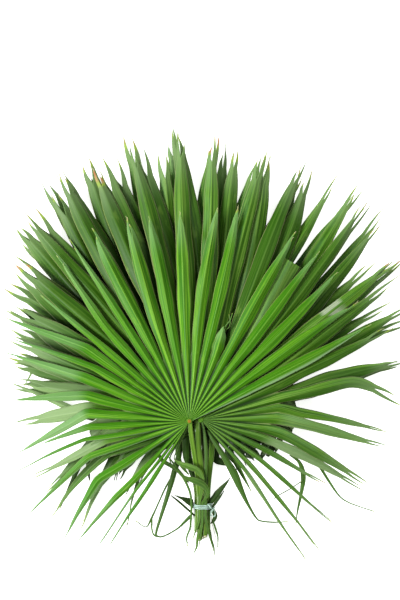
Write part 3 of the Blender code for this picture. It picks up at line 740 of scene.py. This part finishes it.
def rows_along(leaf, seg):
    """Share of its own length at every row of a segment, from the hub to past the tip."""
    start = split_at(leaf, column(seg["degrees"])) / column(seg["length"])
    free = start + (1.0 - start) * column(seg["fork"]) * steps(FREE_ROWS)
    tips = mix(free[:, :, -1:], 1.0, steps(TIP_ROWS))
    thread = 1.0 + 0.02 * steps(THREAD_ROWS)
    share = np.concatenate([JOINED_STEPS * start, free, tips, thread * np.ones_like(start)], axis=2)
    return share * np.ones((1, 2, 1, COLUMNS))


def silver_patch(seg, progress, across):
    """Share of the silvery patch on one segment of the second leaf."""
    silver = np.zeros_like(progress)
    silvery_segment = int(np.argmin(np.abs(seg["degrees"] - SILVER_AT)))
    for side, (begin, end) in enumerate(SILVER_RUNS):
        run = progress[silvery_segment, side] * seg["length"][silvery_segment]
        ends = ramp(run, begin, 2.0 * MM) * (1.0 - ramp(run, end, 2.0 * MM))
        off_middle = np.abs(across[silvery_segment, side] - 0.18 - 0.55 * side)
        silver[silvery_segment, side] = ends * (1.0 - ramp(off_middle, 0.17, 0.05))
    return silver


def build_blade(name, leaf, finish):
    """Points, shared borders, UVs and attributes of one leaf's blade."""
    seg = finish_segments(name, leaf)
    degrees = seg["degrees"]
    folded = dict(leaf, fold=leaf["fold"] * PLEAT_SHARE)
    joined, free, half, bent = blade_points(folded, seg)
    tips, thread = tip_rows(folded, seg, free[:, :, -1:], half)
    points = np.concatenate([joined, free, tips, thread], axis=2)
    progress = rows_along(leaf, seg)
    ones = np.ones_like(progress)
    each = {key: values * ones for key, values in each_segment(seg).items()}
    flat, last = np.zeros(joined.shape[:-1]), np.repeat(bent[:, :, -1:], TIP_ROWS + THREAD_ROWS, axis=2)
    turned = np.concatenate([flat, bent, last], axis=2)
    paler = np.clip(turned / 0.35, 0.0, 1.0) * each["shows_back"]
    paler = np.maximum(paler, each["fades"] * ramp(progress, 0.6, 0.4))
    paler = np.maximum(paler, TIP_PALE * ramp(progress, 0.8, 0.16))
    dry = np.clip((progress - 1.0 + each["dry_run"]) / (0.7 * each["dry_run"]), 0.0, 1.0) * each["dries"]
    far = np.clip(progress * each["length"] / reach(leaf, each["degrees"]), 0.0, 1.2)
    across, silver = (across_half() + 1.0) / 2 * ones, 0.0 * ones
    tone = RNG.random(leaf["segments"])
    if name == "leaf_top":
        tone = tone * mix(1.0, 0.25, ramp(degrees, 5.0, 40.0))
        tone = tone * mix(1.0, 0.5, ramp(-degrees, 88.0, 12.0))
        paler[-1, 1] = 1.1 * ramp(across[-1, 1], 0.7, 0.15)
        paler[3:6, 0] += 0.8 * smooth((0.15 - across[3:6, 0]) / 0.1)
    else:
        tone = tone * mix(0.3, 1.0, ramp(np.abs(degrees + 45.0), 20.0, 15.0))
        tone = mix(tone, 1.0, LOW_RIGHT_LIGHTER * ramp(degrees, 66.0, 14.0))
    if name == "leaf_second":
        silver = silver_patch(seg, progress, across)
        tone[seg["cut"]], paler[seg["cut"]] = 0.8, 0.12
    # Painted shade: lower leaves darkened near their hubs, where the leaves above cover them.
    under = UNDER_SHADE_SHARE[leaf["level"]] * (1.0 - ramp(far, 0.6, 0.3))
    values = {
        "tone": column(tone) * ones, "reach": far, "dry": dry, "paler": paler, "silver": silver,
        "shade": each["shade"], "under": under * (1.0 - 0.6 * ramp(-each["degrees"], 40.0, 20.0)),
        "thread": 0.8 * np.clip((progress - 0.996) / 0.004, 0.0, 1.0) * each["dries"] ** 0.3,
    }
    index = blade_index(leaf["segments"], points.shape[2])
    corner = grid_quads(np.arange(index.size).reshape(index.shape)).ravel()
    uv = np.stack([across.ravel()[corner], (progress * each["length"]).ravel()[corner]], axis=-1)
    values = {key: value.ravel() for key, value in values.items()}
    shape = points.reshape(-1, 3), grid_quads(index), uv.reshape(-1, 4, 2), values
    mesh = new_piece(name + "_blade", shape, finish, BLADE_SHEET, (name,))
    print(mesh.name, len(mesh.polygons), "faces on one side")


for leaf_name, leaf_facts in LEAVES.items():
    build_blade(leaf_name, leaf_facts, TOP_LEAF if leaf_name == "leaf_top" else LOWER_LEAF)

# %% [markdown]
# ## Stems and hubs
# A palm leaf stem is flat or hollowed above, round below and sharp along its two edges, and
# it ends in the hub, where the ribs spread out. A profile is carried along the stem's line
# with one array product, so its width, hollow and edges are all in one formula.

# %% Sweep
def frames_along(line, side):
    """Unit along, side and out vectors at each point of a line, the side made square to it."""
    along = np.gradient(line, axis=0)
    along /= np.linalg.norm(along, axis=1, keepdims=True)
    side = side - along * np.sum(side * along, axis=1, keepdims=True)
    side /= np.linalg.norm(side, axis=1, keepdims=True)
    return along, side, np.cross(side, along)


def travelled(line):
    """How far each point of a line is from its start."""
    return np.append(0.0, np.cumsum(np.linalg.norm(np.diff(line, axis=0), axis=1)))


def uv_grid(across, run):
    """UVs of a grid: how far across, and how far along in metres."""
    return np.stack(np.broadcast_arrays(across, run[:, None]), axis=-1).reshape(-1, 2)


def closed_tube(rings):
    """Quads of a tube of rings, with a fan to one more point to close each end."""
    rows, columns = rings.shape[:2]
    index = np.arange(rows * columns).reshape(rows, columns)
    index = np.concatenate([index, index[:, :1]], axis=1)
    pair = np.arange(0, columns, 2)
    low = np.full(len(pair), rows * columns)
    first = np.stack([index[0, pair], low, index[0, pair + 2], index[0, pair + 1]], axis=-1)
    last = np.stack([index[-1, pair], index[-1, pair + 1], index[-1, pair + 2], low + 1], axis=-1)
    return np.concatenate([grid_quads(index), first, last])


def sweep(line, side, profile, scale):
    """A closed ring profile carried along a line: points, quads and UVs."""
    _, side, out = frames_along(line, side)
    ring = profile * scale[:, None, None]
    body = line[:, None] + side[:, None] * ring[..., :1] + out[:, None] * ring[..., 1:]
    quads = closed_tube(body)[:, ::-1]
    points = np.concatenate([body.reshape(-1, 3), [line[0], line[-1]]])
    run, around = travelled(line), np.linspace(0.0, 1.0, len(profile), endpoint=False)
    return points, quads, np.concatenate([uv_grid(around, run), [[0.5, 0.0], [0.5, run[-1]]]])[quads]


# %% [markdown]
# The stems lie together at the tie, three below and two above, and fan out from there to
# their hubs. The line is the one that the solids follow.

# %% Stem lines
TIE_X, TIE_Y, BUNDLE_REST = -3.5 * MM, -124.0 * MM, 7.2 * MM
STEM_RADIUS, STEM_PITCH = 3.9 * MM, 8.3 * MM
ROW_RISE = STEM_PITCH * math.sin(math.radians(60.0))
STEMS = {
    "leaf_top": (-0.5, 1.0, -177.0, 0.35),
    "leaf_second": (0.5, 1.0, -172.0, 0.05),
    "leaf_third": (1.0, 0.0, -168.0, 0.7),
    "leaf_fourth": (-1.0, 0.0, -165.0, 0.4),
    "leaf_lowest": (0.0, 0.0, -175.0, 0.1),
}


def slot_place(across, up):
    """Middle of a stem in the tied bundle, x and z."""
    return np.array([TIE_X + across * STEM_PITCH, BUNDLE_REST + up * ROW_RISE])


def stem_line(name, leaf, y):
    """Straight through the tie, then half straight and half smooth out to the hub."""
    x0, z0 = slot_place(*STEMS[name][:2])
    begin = TIE_Y + 16.0 * MM
    hub_x, hub_y = np.array(leaf["hub"]) * MM
    share = np.maximum(0.0, (y - begin) / (hub_y - begin))
    bend = mix(share, smooth(share), 0.5)
    hub_z = HUB_REST + HUB_SPACING * leaf["level"] - 1.75 * MM
    return np.stack([mix(x0, hub_x, bend), y, mix(z0, hub_z, bend)], axis=-1)


# %% [markdown]
# ## Leaf stem finish
# Fresh stem skin is smooth and glossy, olive green with lighter streaks along it, a painted
# highlight down the left edge, towards the lamp, and a brownish line down the other. The cut ends are cream.

# %% Leaf stem finish
def stem_skin():
    """Olive streaks along the stem from stretched noise, with a painted highlight down one edge and brown
    down the other.
    """
    made, tree, surface = new_finish("fresh_leaf_stem")
    tone = read(tree, "tone")
    streak = stretched_noise(tree, on_segment(tree), times(tree, tone, 23.0), 12.0, 9.0, 3.0)
    light = step(tree, streak, 0.35, 0.65)
    # Darker and lighter olive, mixed by the tone set for each stem.
    darker_olive, lighter_olive = blend(tree, light, "#35570F", "#5F8024"), blend(tree, light, "#4D8212", "#7CAA38")
    colour = blend(tree, tone, darker_olive, lighter_olive)
    # Painted highlight: a pale line down the left edge, the side towards the key lamp.
    colour = blend(tree, step(tree, read(tree, "lit_edge_highlight"), 0.3, 0.9, 0.0, 0.75), colour, "#C4D696")
    colour = blend(tree, step(tree, read(tree, "right_edge"), 0.3, 0.9, 0.0, 0.7), colour, "#5B4320")
    colour = blend(tree, step(tree, read(tree, "cut"), 0.4, 0.6), colour, "#DCD29A")
    relief = bump(tree, streak, 0.3, 0.3 * MM)
    fill(tree, surface, Base_Color=colour, Roughness=0.34, IOR=1.45, Normal=relief)
    return made


STEM_SKIN = stem_skin()

# %% Stems
STEM_SIDES = 24
STEM_AT_HUB = {"leaf_top": (0.88, 1.0, 0.0), "leaf_second": (1.2, -5.6, 7.0), "leaf_third": (1.2, 2.6, 0.0)}
CUT_SLOPE, CUT_FADE = 0.8, 12.0 * MM


def build_stem(name, leaf):
    """The stem from its cut end to the hub: round below, hollowed above, slimmer at the hub."""
    _, _, low, tone = STEMS[name]
    y = np.linspace(low * MM, leaf["hub"][1] * MM, 80)
    line = stem_line(name, leaf, y)
    side, out = circle(STEM_SIDES)
    hollow = np.where(out > 0, 0.7 - 0.25 * (1.0 - side**2), 1.0)
    share = (y - y[0]) / (y[-1] - y[0])
    wide_at_hub, shift, rise = STEM_AT_HUB.get(name, (0.78, 0.0, 0.0))
    scale = STEM_RADIUS * mix(1.0, wide_at_hub, smooth(share * 1.4 - 0.4))
    near_hub = smooth(share * 2.2 - 0.8)
    line[:, 0] += shift * MM * near_hub
    line[:, 2] += rise * MM * near_hub * (1.0 - smooth(share * 10.0 - 9.0))
    points, quads, uv = sweep(
        line, np.tile([1.0, 0.0, 0.0], (len(y), 1)), np.stack([side, out * hollow], axis=-1), scale
    )
    near_cut = np.maximum(0.0, 1.0 - (points[:, 1] - y[0]) / CUT_FADE)
    points[:, 1] += CUT_SLOPE * near_cut * (points[:, 2] - line[0, 2] + STEM_RADIUS)
    values = {"cut": np.append(np.zeros(len(points) - 2), [1.0, 0.0]), "tone": np.full(len(points), tone)}
    for key, way in (("right_edge", 1.0), ("lit_edge_highlight", -1.0)):
        values[key] = np.append(np.tile(np.maximum(way * side, 0.0) ** 10, len(y)), [0.0, 0.0])
    new_piece(name + "_stem", (points, quads, uv, values), STEM_SKIN)


for leaf_name, leaf_facts in LEAVES.items():
    build_stem(leaf_name, leaf_facts)
print("stems:", len(LEAVES))

# %% [markdown]
# The hub is a low boss where the ribs meet. On the top leaf its middle has dried to an
# orange-brown spot, which is plain to see in the photo.

# %% Hubs
HUB_RINGS, HUB_SIDES, HUB_RISE = 9, 24, 2.2 * MM
HUB_RADIUS, LOWEST_HUB_RADIUS, HUB_SINK = 4.6 * MM, 10.0 * MM, 0.3 * MM


def hub_skin():
    """Green fibres that turn orange-brown towards the middle of the boss."""
    made, tree, surface = new_finish("leaf_hub")
    fibre = stretched_noise(tree, on_segment(tree), 3.0, 30.0, 200.0, 2.0)
    green = blend(tree, step(tree, fibre, 0.35, 0.65), "#37690E", "#5E8A28")
    spot = blend(tree, step(tree, fibre, 0.3, 0.7), "#7A5414", "#A07A2A")
    colour = blend(tree, step(tree, read(tree, "spot"), 0.35, 0.75), green, spot)
    fill(tree, surface, Base_Color=colour, Roughness=0.8, Specular_IOR_Level=0.15)
    return made


HUB_SKIN = hub_skin()


def build_hub(name, leaf):
    """A boss turned from a half circle: radius times cosine out, a part of it times sine up."""
    level = leaf["level"]
    radius = LOWEST_HUB_RADIUS if level == 0 else HUB_RADIUS
    centre = np.array([*leaf["hub"], 0.0]) * MM
    centre[1] += 1.2 * MM if name == "leaf_top" else 0.0
    centre[2] = layer_height(level, centre[:2]) - HUB_SINK
    lift = np.linspace(-0.5 * math.pi, 0.5 * math.pi, HUB_RINGS + 2)[1:-1]
    flat = radius * np.cos(lift)[:, None] ** 0.7
    cosine, sine = circle(HUB_SIDES)
    drop = 0.5 * (centre[2] if level == 0 else 5.0 * MM)
    height = np.where(np.sin(lift) > 0, HUB_RISE * np.sin(lift), 2.0 * drop * np.sin(lift))[:, None]
    ring = np.stack(np.broadcast_arrays(flat * cosine, flat * sine, height), axis=-1)
    quads = closed_tube(ring)
    ends = np.array([[0.0, 0.0, -2.0 * drop], [0.0, 0.0, HUB_RISE]])
    points = np.concatenate([ring.reshape(-1, 3), ends])
    away = np.linalg.norm(points[:, :2], axis=1) / radius
    spot = np.clip(1.1 - away, 0.0, 1.0) * (1.0 if name == "leaf_top" else 0.25)
    angle = np.arctan2(points[:, 0], points[:, 1]) / (2.0 * math.pi)
    uv = np.stack([angle, away * radius], axis=-1)[quads]
    values = {"spot": spot * (points[:, 2] > 0)}
    new_piece(name + "_hub", (points + centre, quads, uv, values), HUB_SKIN)


for leaf_name, leaf_facts in LEAVES.items():
    build_hub(leaf_name, leaf_facts)

# %% [markdown]
# ## Folded and loose strips
# Some low segments are folded back along the stems, and two loose strips are caught under
# the twine. Each is a ribbon with a low ridge, laid along a smooth line through points down to
# the tie and on to a pointed tail. The twine holds them flat on the stems.

# %% Ribbons
RIBBON_COLUMNS, RIBBON_SHEET, SPAN_STEPS = 13, 0.6 * MM, 8


def ribbon(name, line, side, half, finish, fold, tone, back=0.1, dries=0.6, replaces=()):
    """A ridged ribbon along a line: across it -1 to 1, with the ridge up by the fold."""
    _, side, out = frames_along(line, side)
    across = np.linspace(-1.0, 1.0, RIBBON_COLUMNS)
    ridge = (1.0 - np.abs(across)) * np.broadcast_to(fold, len(line))[:, None]
    points = line[:, None] + side[:, None] * (half[:, None] * across)[..., None]
    points = points + out[:, None] * (half[:, None] * ridge)[..., None]
    quads = grid_quads(np.arange(ridge.size).reshape(ridge.shape))
    run = travelled(line)
    far = np.repeat(run / run[-1], RIBBON_COLUMNS)
    values = {"reach": 0.3 + 0.7 * far, "dry": dries * np.clip((far - 0.96) / 0.04, 0, 1)}
    even = {"tone": tone, "paler": back, "shade": 0.5, "silver": 0.0, "thread": 0.0, "under": 0.0}
    values.update({key: np.full(far.shape, value) for key, value in even.items()})
    shape = points.reshape(-1, 3), quads, uv_grid((across + 1.0) / 2.0, run)[quads], values
    new_piece(name, shape, finish, RIBBON_SHEET, replaces)


def bezier(a, b, c, d, t):
    """The cubic curve through a and d that b and c pull on."""
    t = t[:, None]
    return a * (1 - t) ** 3 + 3 * b * t * (1 - t) ** 2 + 3 * c * t * t * (1 - t) + d * t**3


def through(points):
    """A smooth line through points, by the Catmull-Rom formula, with even steps on each span."""
    points = np.array(points, float)
    held = np.concatenate([points[:1], points, points[-1:]])
    a, b, c, d = held[:-3, None], held[1:-2, None], held[2:-1, None], held[3:, None]
    t = np.linspace(0.0, 1.0, SPAN_STEPS, endpoint=False)[None, :, None]
    line = (2 * b + (c - a) * t + (2 * a - 5 * b + 4 * c - d) * t**2 + (3 * b - a - 3 * c + d) * t**3) / 2
    return np.concatenate([line.reshape(-1, points.shape[1]), points[-1:]])


# %% Strips through the tie
STRIP_GAP, STRIP_THICKNESS, STRIP_RUN = 0.4 * MM, 0.8 * MM, 5.45 * MM
STRIP_WIDE, LOOSE_STRIP_WIDE = 3.9 * MM, 3.6 * MM
TOP_OF_BUNDLE = BUNDLE_REST + ROW_RISE + STEM_RADIUS + STRIP_GAP + STRIP_THICKNESS / 2
SIDE_OF_BUNDLE = STEM_PITCH + STEM_RADIUS + STRIP_GAP + STRIP_THICKNESS / 2
STRIPS = (
    ("leaf_top", 0, -4.6, (-19, -176, 19.5), 0.7, [
        (-24, 2, 49, 0.8), (-34, -20, 49, 0.9), (-43, -40, 47, 0.9), (-45, -50, 45, 0.8),
        (-36, -57, 44, 3.4), (-22, -62, 42, 4.6), (-10, -68, 38, 4.0), (-3, -82, 32, 3.0),
        (-5, -102, 24, 2.2),
    ]),
    ("leaf_top", 0, 0.0, (-9, -190, 19.5), 0.35, [
        (-25, 3, 50, 0.8), (-40, -26, 51, 0.9), (-52, -50, 48, 0.9), (-41, -68, 43, 0.9),
        (-29, -78, 40, 2.6), (-12, -84, 38, 5.0), (0, -92, 32, 4.2), (5, -104, 26, 2.6),
    ]),
    ("leaf_second", 0, 4.6, (14, -194, 10), 0.1, [
        (-4, 6, 40, 1.6), (0, -16, 39, 2.4), (2, -40, 36, 2.6), (2, -64, 31, 2.4), (1, -88, 25, 2.2),
    ]),
    ("strip_right", 1, 0.0, (18, -178, 5), 0.3, [
        (38, -80, 29, 0.4), (32, -88, 26, 2.2), (24, -97, 20, 3.2), (16, -106, 14, 3.0),
    ]),
    ("strip_left", -1, 0.0, (-27, -187, 3), 0.15, [
        (-45, -106, 27, 0.4), (-36, -110, 24, 2.0), (-27, -113, 18, 2.6), (-20, -115, 13, 2.4),
    ]),
)


def build_strip(number, owner, side, across, end, tone, rows):
    """One strip: through its points to the tie, straight on, then the tail drawn to a point."""
    held, held_side = np.array([TIE_X + across * MM, TIE_Y, TOP_OF_BUNDLE]), np.array([-1.0, 0.0, 0.0])
    if side:
        held = np.array([TIE_X + side * SIDE_OF_BUNDLE, TIE_Y, BUNDLE_REST + 0.6 * MM])
        held_side = np.array([0.0, 0.0, -1.0 * side])
    run = np.array([0.0, STRIP_RUN, 0.0])
    held_half = (LOOSE_STRIP_WIDE if side else STRIP_WIDE) / 2
    above = np.append(held + run, held_half)
    table = through(np.concatenate([np.array(rows, float) * MM, [above]]))
    flat_side = np.cross(np.gradient(table[:, :3], axis=0), [0.0, 0.0, 1.0]) + np.array([1e-6, 0.0, 0.0])
    flat_side /= np.linalg.norm(flat_side, axis=1, keepdims=True)
    turning = ramp(np.linspace(0.0, 1.0, len(table)), 0.75, 0.25)[:, None]
    flat_side = mix(flat_side, held_side, turning)
    u = np.linspace(0.0, 1.0, 16)
    below = held - run
    tail = bezier(below, below - run * 3.0, below - run * 3.0, np.array(end) * MM, u)
    line = np.concatenate([table[:, :3], held[None], tail])
    straight_on = np.tile(flat_side[-1], (len(u) + 1, 1))
    tail_half = held_half * (1.0 + 0.5 * u) * (1.0 - 0.9 * u**2)
    halves = np.concatenate([np.maximum(table[:, 3], 0.4 * MM), [held_half], tail_half])
    fold = np.concatenate([0.3 * (1.0 - turning[:, 0]), np.zeros(len(u) + 1)]) + 0.02
    loose = owner.startswith("strip")
    # The last two strips take the darker leaf finish, which is painted shade.
    ribbon(
        f"folded_strip_{number}", line, np.concatenate([flat_side, straight_on]), halves,
        SHADOWED_LEAF if number > 2 else LOWER_LEAF, fold, tone,
        replaces=(owner,) if loose else (),
    )


for number, strip_facts in enumerate(STRIPS):
    build_strip(number, *strip_facts)

# %% [markdown]
# More low segments hang beside the stems. Each is given by a few points in millimetres with
# half its width there, and the smooth line through them is laid flat. The long one at the
# left turns back on itself and ends at the tie, as in the photo.

# %% Hanging segments
HANGING = {
    "hanging_left": [
        (-34, 6, 17, 3), (-38, -42, 17, 4.2), (-47, -76, 15, 4.2), (-56, -108, 13, 3.4),
        (-73, -163, 9, 1.9), (-71, -170, 8.5, 1.4), (-62, -170, 8.5, 1.2), (-42, -159, 9, 1.3),
        (-30, -148, 9, 2.2), (-21, -139, 9, 2.6),
    ],
    "hanging_thread_left": [
        (-50, -80, 12, 1.4), (-60, -98, 10, 1.4), (-70, -120, 9, 1.2), (-81, -144, 8, 1.6),
        (-89, -156, 8, 0.8), (-104, -147, 7, 0.4),
    ],
    "curl_left": [(-80, -143, 9, 1.4), (-80, -158, 7, 1.3), (-77, -168, 7, 1.2), (-71, -171, 7, 0.9)],
    "blade_beside_stem": [
        (-24, 2, 30, 2), (-27, -10, 29, 4.4), (-28.5, -28, 27, 5.2), (-28, -46, 24, 5),
        (-26.5, -56, 22, 3.6), (-26, -62, 21, 0.8),
    ],
    "blade_behind_stem": [
        (-37, -2, 26, 3), (-40, -24, 25, 3.8), (-40, -44, 23, 3.8), (-36, -60, 19, 3),
        (-24, -76, 17, 1),
    ],
    "thin_over_tie": [
        (-55, -48, 22, 0.6), (-43, -64, 21, 1.9), (-31, -82, 20, 1.9), (-22, -103, 18, 1.8),
        (-20, -122, 16, 1.7), (-20.5, -139, 13, 1.6), (-22, -157, 9, 1.5), (-27, -172, 6, 1.3),
        (-26, -186, 4, 0.5),
    ],
    "hook_right": [
        (4, -8, 34, 2), (14, -24, 34, 3.2), (30, -49, 32, 4.4), (44, -73, 28, 6), (53, -94, 23, 4.6),
        (65, -120, 16, 2.5), (78, -142, 10, 1.5), (86, -147, 9, 1.2), (105, -149, 8, 1.1),
        (126, -148, 8, 0.4),
    ],
    "hook_side_right": [
        (128, -46, 20, 1), (141, -55, 19, 2.4), (147, -67, 17, 3.6), (149, -83, 15, 3.8),
        (146, -105, 11, 2.6), (141, -130, 8, 1.5), (138, -151, 6, 0.3),
    ],
    "curve_right": [
        (163, -52, 14, 2.2), (173, -63, 13, 2.2), (189, -88, 11, 2), (203, -108, 9, 1.3),
        (216, -118, 8, 1), (236, -126, 6, 0.8), (257, -133, 5, 0.3),
    ],
    "pale_left": [
        (-170, 10, 17, 4), (-185, 16, 16, 5.4), (-212, 28, 14, 5.2), (-246, 43, 11, 3.6),
        (-291, 61, 8, 0.6),
    ],
    "pale_left_tip": [(-246, 84, 14, 1.6), (-258, 86, 13, 1.8), (-264, 73, 11, 1.6), (-273, 58, 9, 0.4)],
    "cross_right": [(104, -113, 14, 0.5), (112, -107, 15, 0.8), (128, -98, 17, 0.8), (146, -86, 18, 0.5)],
    "dark_left": [
        (-160, -20, 15, 3), (-173, -26, 14, 4.6), (-187, -57, 11, 4.2), (-205, -97, 8, 2.6),
        (-219, -128, 5, 0.4),
    ],
    "dark_left_inner": [
        (-168, -28, 14, 2.6), (-174, -45, 12, 3.6), (-176, -66, 10, 3.4), (-174, -86, 8, 0.6),
    ],
    "left_of_tie": [
        (-41, -107, 22, 0.4), (-31, -114, 19, 2.2), (-22, -120, 15, 3.4), (-14, -126, 10, 3.4),
        (-12, -130, 8, 1),
    ],
    "left_of_tie_low": [
        (-51, -107, 20, 0.4), (-41, -115, 17, 1.6), (-30, -125, 13, 1.8), (-15, -139, 8, 1.6),
    ],
    "right_of_tie": [
        (38.5, -79, 30, 0.3), (33, -87, 27, 1.6), (24, -99, 20, 3.4), (14, -112, 12, 4.6),
        (7, -121, 9, 3), (5, -126, 7, 1),
    ],
    "right_of_tie_low": [
        (29, -100, 22, 0.3), (24, -108, 18, 1.5), (17, -118, 13, 2.2), (8, -131, 9, 1.6),
    ],
    "knot_leaf": [
        (8, -124, 12, 1), (13, -131, 13, 3.2), (16, -139, 12, 3.4), (13, -147, 9, 2.6),
        (9, -151, 8, 0.6),
    ],
    "tail_right": [(13, -148, 9, 1.4), (17, -160, 8, 1.5), (20, -171, 7, 1.1), (20, -188, 5, 0.4)],
    "tail_low_right": [(7, -160, 13, 2.2), (10, -174, 10, 1.7), (14, -187, 8, 1.2), (15, -199, 6, 0.4)],
    "tail_low_left": [(-8, -158, 19, 2.4), (-11, -174, 15, 2), (-12, -186, 10, 1.6), (-17, -197, 6, 0.5)],
    "crossing_left": [
        (-70, -42, 20, 2), (-64, -54, 20, 3), (-46, -65, 21, 3.2), (-36, -74, 20, 2.6),
        (-24, -88, 17, 1),
    ],
    "filler_middle": [
        (-13, -2, 26, 8), (-12, -26, 24, 8), (-12, -52, 20, 6.4), (-10, -82, 12.5, 4.4),
        (-8, -104, 12, 2),
    ],
    "filler_right": [
        (2, -2, 22, 7.5), (3, -28, 20, 7.5), (5, -54, 15, 6), (3, -80, 12.3, 4.4), (-1, -104, 12, 2),
    ],
    "filler_far_right": [
        (12, -8, 14, 5), (16, -30, 9, 6), (17, -52, 8, 6), (26, -58, 7, 5), (34, -62, 6, 2),
    ],
    "filler_left": [
        (-22, -2, 16, 4.5), (-27, -26, 22, 6), (-25, -50, 21, 6), (-19, -74, 17, 4), (-15, -92, 13, 2),
    ],
    "torn_thread_a": [(28, 142, 56, 0.7), (32, 150, 60, 0.6), (38, 158, 63, 0.5), (41, 168, 62, 0.3)],
    "torn_thread_b": [(30, 143, 56, 0.7), (36, 147, 58, 0.6), (38, 156, 62, 0.5), (36, 166, 62, 0.3)],
    "short_right": [(36, -38, 24, 3), (48, -60, 21, 3.6), (60, -82, 17, 2.2), (70, -101, 13, 0.4)],
}
# Pieces named so take the darker leaf finish, which is painted shade.
SHADED = ("filler", "left_of_tie", "right_of_tie", "knot", "dark")
for number, (name, rows) in enumerate(HANGING.items()):
    table = through(rows)
    middle, halves = table[:, :3] * MM, np.maximum(table[:, 3], 0.75) * MM
    along = np.gradient(middle, axis=0)
    flat_side = np.cross(along, [0.0, 0.0, 1.0]) + np.array([0.0, 0.0, 1e-5])
    finish = SHADOWED_LEAF if name.startswith(SHADED) else LOWER_LEAF
    dries = 0.6 if rows[-1][3] < 0.7 else 0.0
    back = 0.8 if name.startswith("pale") else 0.1
    ribbon(name, middle, flat_side, halves, finish, 0.5, (number * 0.37) % 1.0, back, dries)
print("hanging segments:", len(HANGING))

# %% [markdown]
# ## Twine
# The tie is thin mint plastic twine, wound three times round the bundle and knotted at the
# right. It is glossy, so each turn has a bright line. The knot is a tangle of the same
# twine: a closed curve made of sines of different rates.

# %% Twine finish
def twine_finish():
    """Pale mint with fine fibres wound round it, glossy like thin plastic string."""
    made, tree, surface = new_finish("glossy_plastic_twine")
    around, along = on_segment(tree)
    wound = math_node(tree, "ADD", times(tree, along, 600.0), around)
    fibre = math_node(tree, "PINGPONG", times(tree, wound, 2.0), 1.0)
    colour, relief = blend(tree, fibre, "#7FA893", "#CDE5DA"), bump(tree, fibre, 0.5, 0.3 * MM)
    fill(tree, surface, Base_Color=colour, Roughness=0.3, IOR=1.5, Normal=relief)
    return made


TWINE = twine_finish()

# %% Twine
TWINE_RADIUS, TWINE_GAP, TURNS, TWINE_PITCH = 0.9 * MM, 0.35 * MM, 3, 2.3 * MM
TWINE_SIDES, TURN_STEPS, KNOT_RADIUS = 10, 40, 0.6 * MM
CORNERS = np.array([slot_place(*STEMS[n][:2]) for n in STEMS if n != "leaf_lowest"])


def bundle_edge(angle, clearance):
    """Tight outline round the four corner stems, with room for the strips on top."""
    out = np.stack([np.cos(angle), np.sin(angle)], axis=-1)
    corner = CORNERS[np.argmax(out @ CORNERS.T, axis=-1)]
    extra = 1.6 * MM * smooth(out[..., 1] * 2.5 + 1.5)
    return corner + out * (STEM_RADIUS + clearance + extra)[..., None]


def twine_piece(name, line, radius, replaces=()):
    """A round string along a line, its ring kept turned by the line's own sideways lean."""
    ring = np.stack(circle(TWINE_SIDES), axis=-1)
    along = np.gradient(line, axis=0)
    side = np.cross(along, [0.13, 0.97, 0.21])
    shape = sweep(line, side, ring, np.full(len(line), radius))
    new_piece(name, shape, TWINE, replaces=replaces)


angle = math.radians(20.0) + 2 * math.pi * np.arange(TURNS * TURN_STEPS + 5) / TURN_STEPS
edge = bundle_edge(angle, TWINE_RADIUS + TWINE_GAP)
y = TIE_Y - TURNS * TWINE_PITCH / 2 + TWINE_PITCH * np.arange(len(angle)) / TURN_STEPS
wound_line = np.stack([edge[:, 0], y, edge[:, 1]], axis=-1)
tail_in = wound_line[0] + np.array([[7, -11, 2], [5.6, -7.5, 1.8], [3.5, -4, 1.5], [1.4, -1.2, 0.8]]) * MM
tail_out = wound_line[-1] + np.array([[1, -0.3, 2], [2, -1, 3.5], [3.6, -3.2, 4.2], [5, -6, 4.5]]) * MM
twine_piece("twine_turns", np.concatenate([tail_in, wound_line, tail_out]), TWINE_RADIUS, ("tie",))
t = np.linspace(0.0, 2.0 * math.pi, 150)
knot = [12.5 + 3.6 * np.sin(3 * t), -132 + 7 * np.sin(2 * t + 0.7), 16 + 4 * np.cos(5 * t)]
knot = np.stack(knot, axis=-1) * MM
twine_piece("twine_knot", knot, KNOT_RADIUS)

# %% [markdown]
# ## Floor and light
# The photo is cut out on white with light from the left. A large white floor that glows a
# little, like a light table, keeps the shadows on it faint. One soft lamp from the left gives
# the pleats their light and dark sides. A weaker one from the right and an even sky fill in.

# %% Floor and light
floor_mesh = bpy.data.meshes.new("floor")
floor_mesh.from_pydata([(-6, -6, 0), (6, -6, 0), (6, 6, 0), (-6, 6, 0)], [], [(0, 1, 2, 3)])
floor = link_new("floor", floor_mesh)
floor_finish, floor_tree, floor_surface = new_finish("pale_floor")
fill(
    floor_tree, floor_surface, Base_Color=linear("#F8F8F8"), Roughness=0.9,
    Emission_Color=(1.0, 1.0, 1.0, 1.0), Emission_Strength=0.8,
)
floor_mesh.materials.append(floor_finish)


def area_light(name, place, aim, size, power):
    """A square soft lamp at a place, turned towards a point."""
    data = bpy.data.lights.new(name, "AREA")
    data.shape, data.size, data.energy = "SQUARE", size, power
    lamp = link_new(name, data)
    lamp.location = place
    lamp.rotation_euler = (Vector(aim) - Vector(place)).to_track_quat("-Z", "Y").to_euler()


area_light("key", (-1.7, -0.1, 2.0), (0.0, 0.1, 0.0), 0.9, 100.0)
area_light("fill", (1.4, 1.2, 2.3), (0.0, 0.1, 0.0), 2.0, 26.0)
world = bpy.data.worlds.new("studio")
bpy.context.scene.world = world
world.use_nodes = True
world.node_tree.nodes["Background"].inputs["Color"].default_value = (1.0, 1.0, 1.0, 1.0)
world.node_tree.nodes["Background"].inputs["Strength"].default_value = 0.25
bpy.context.scene.view_settings.view_transform = "Standard"
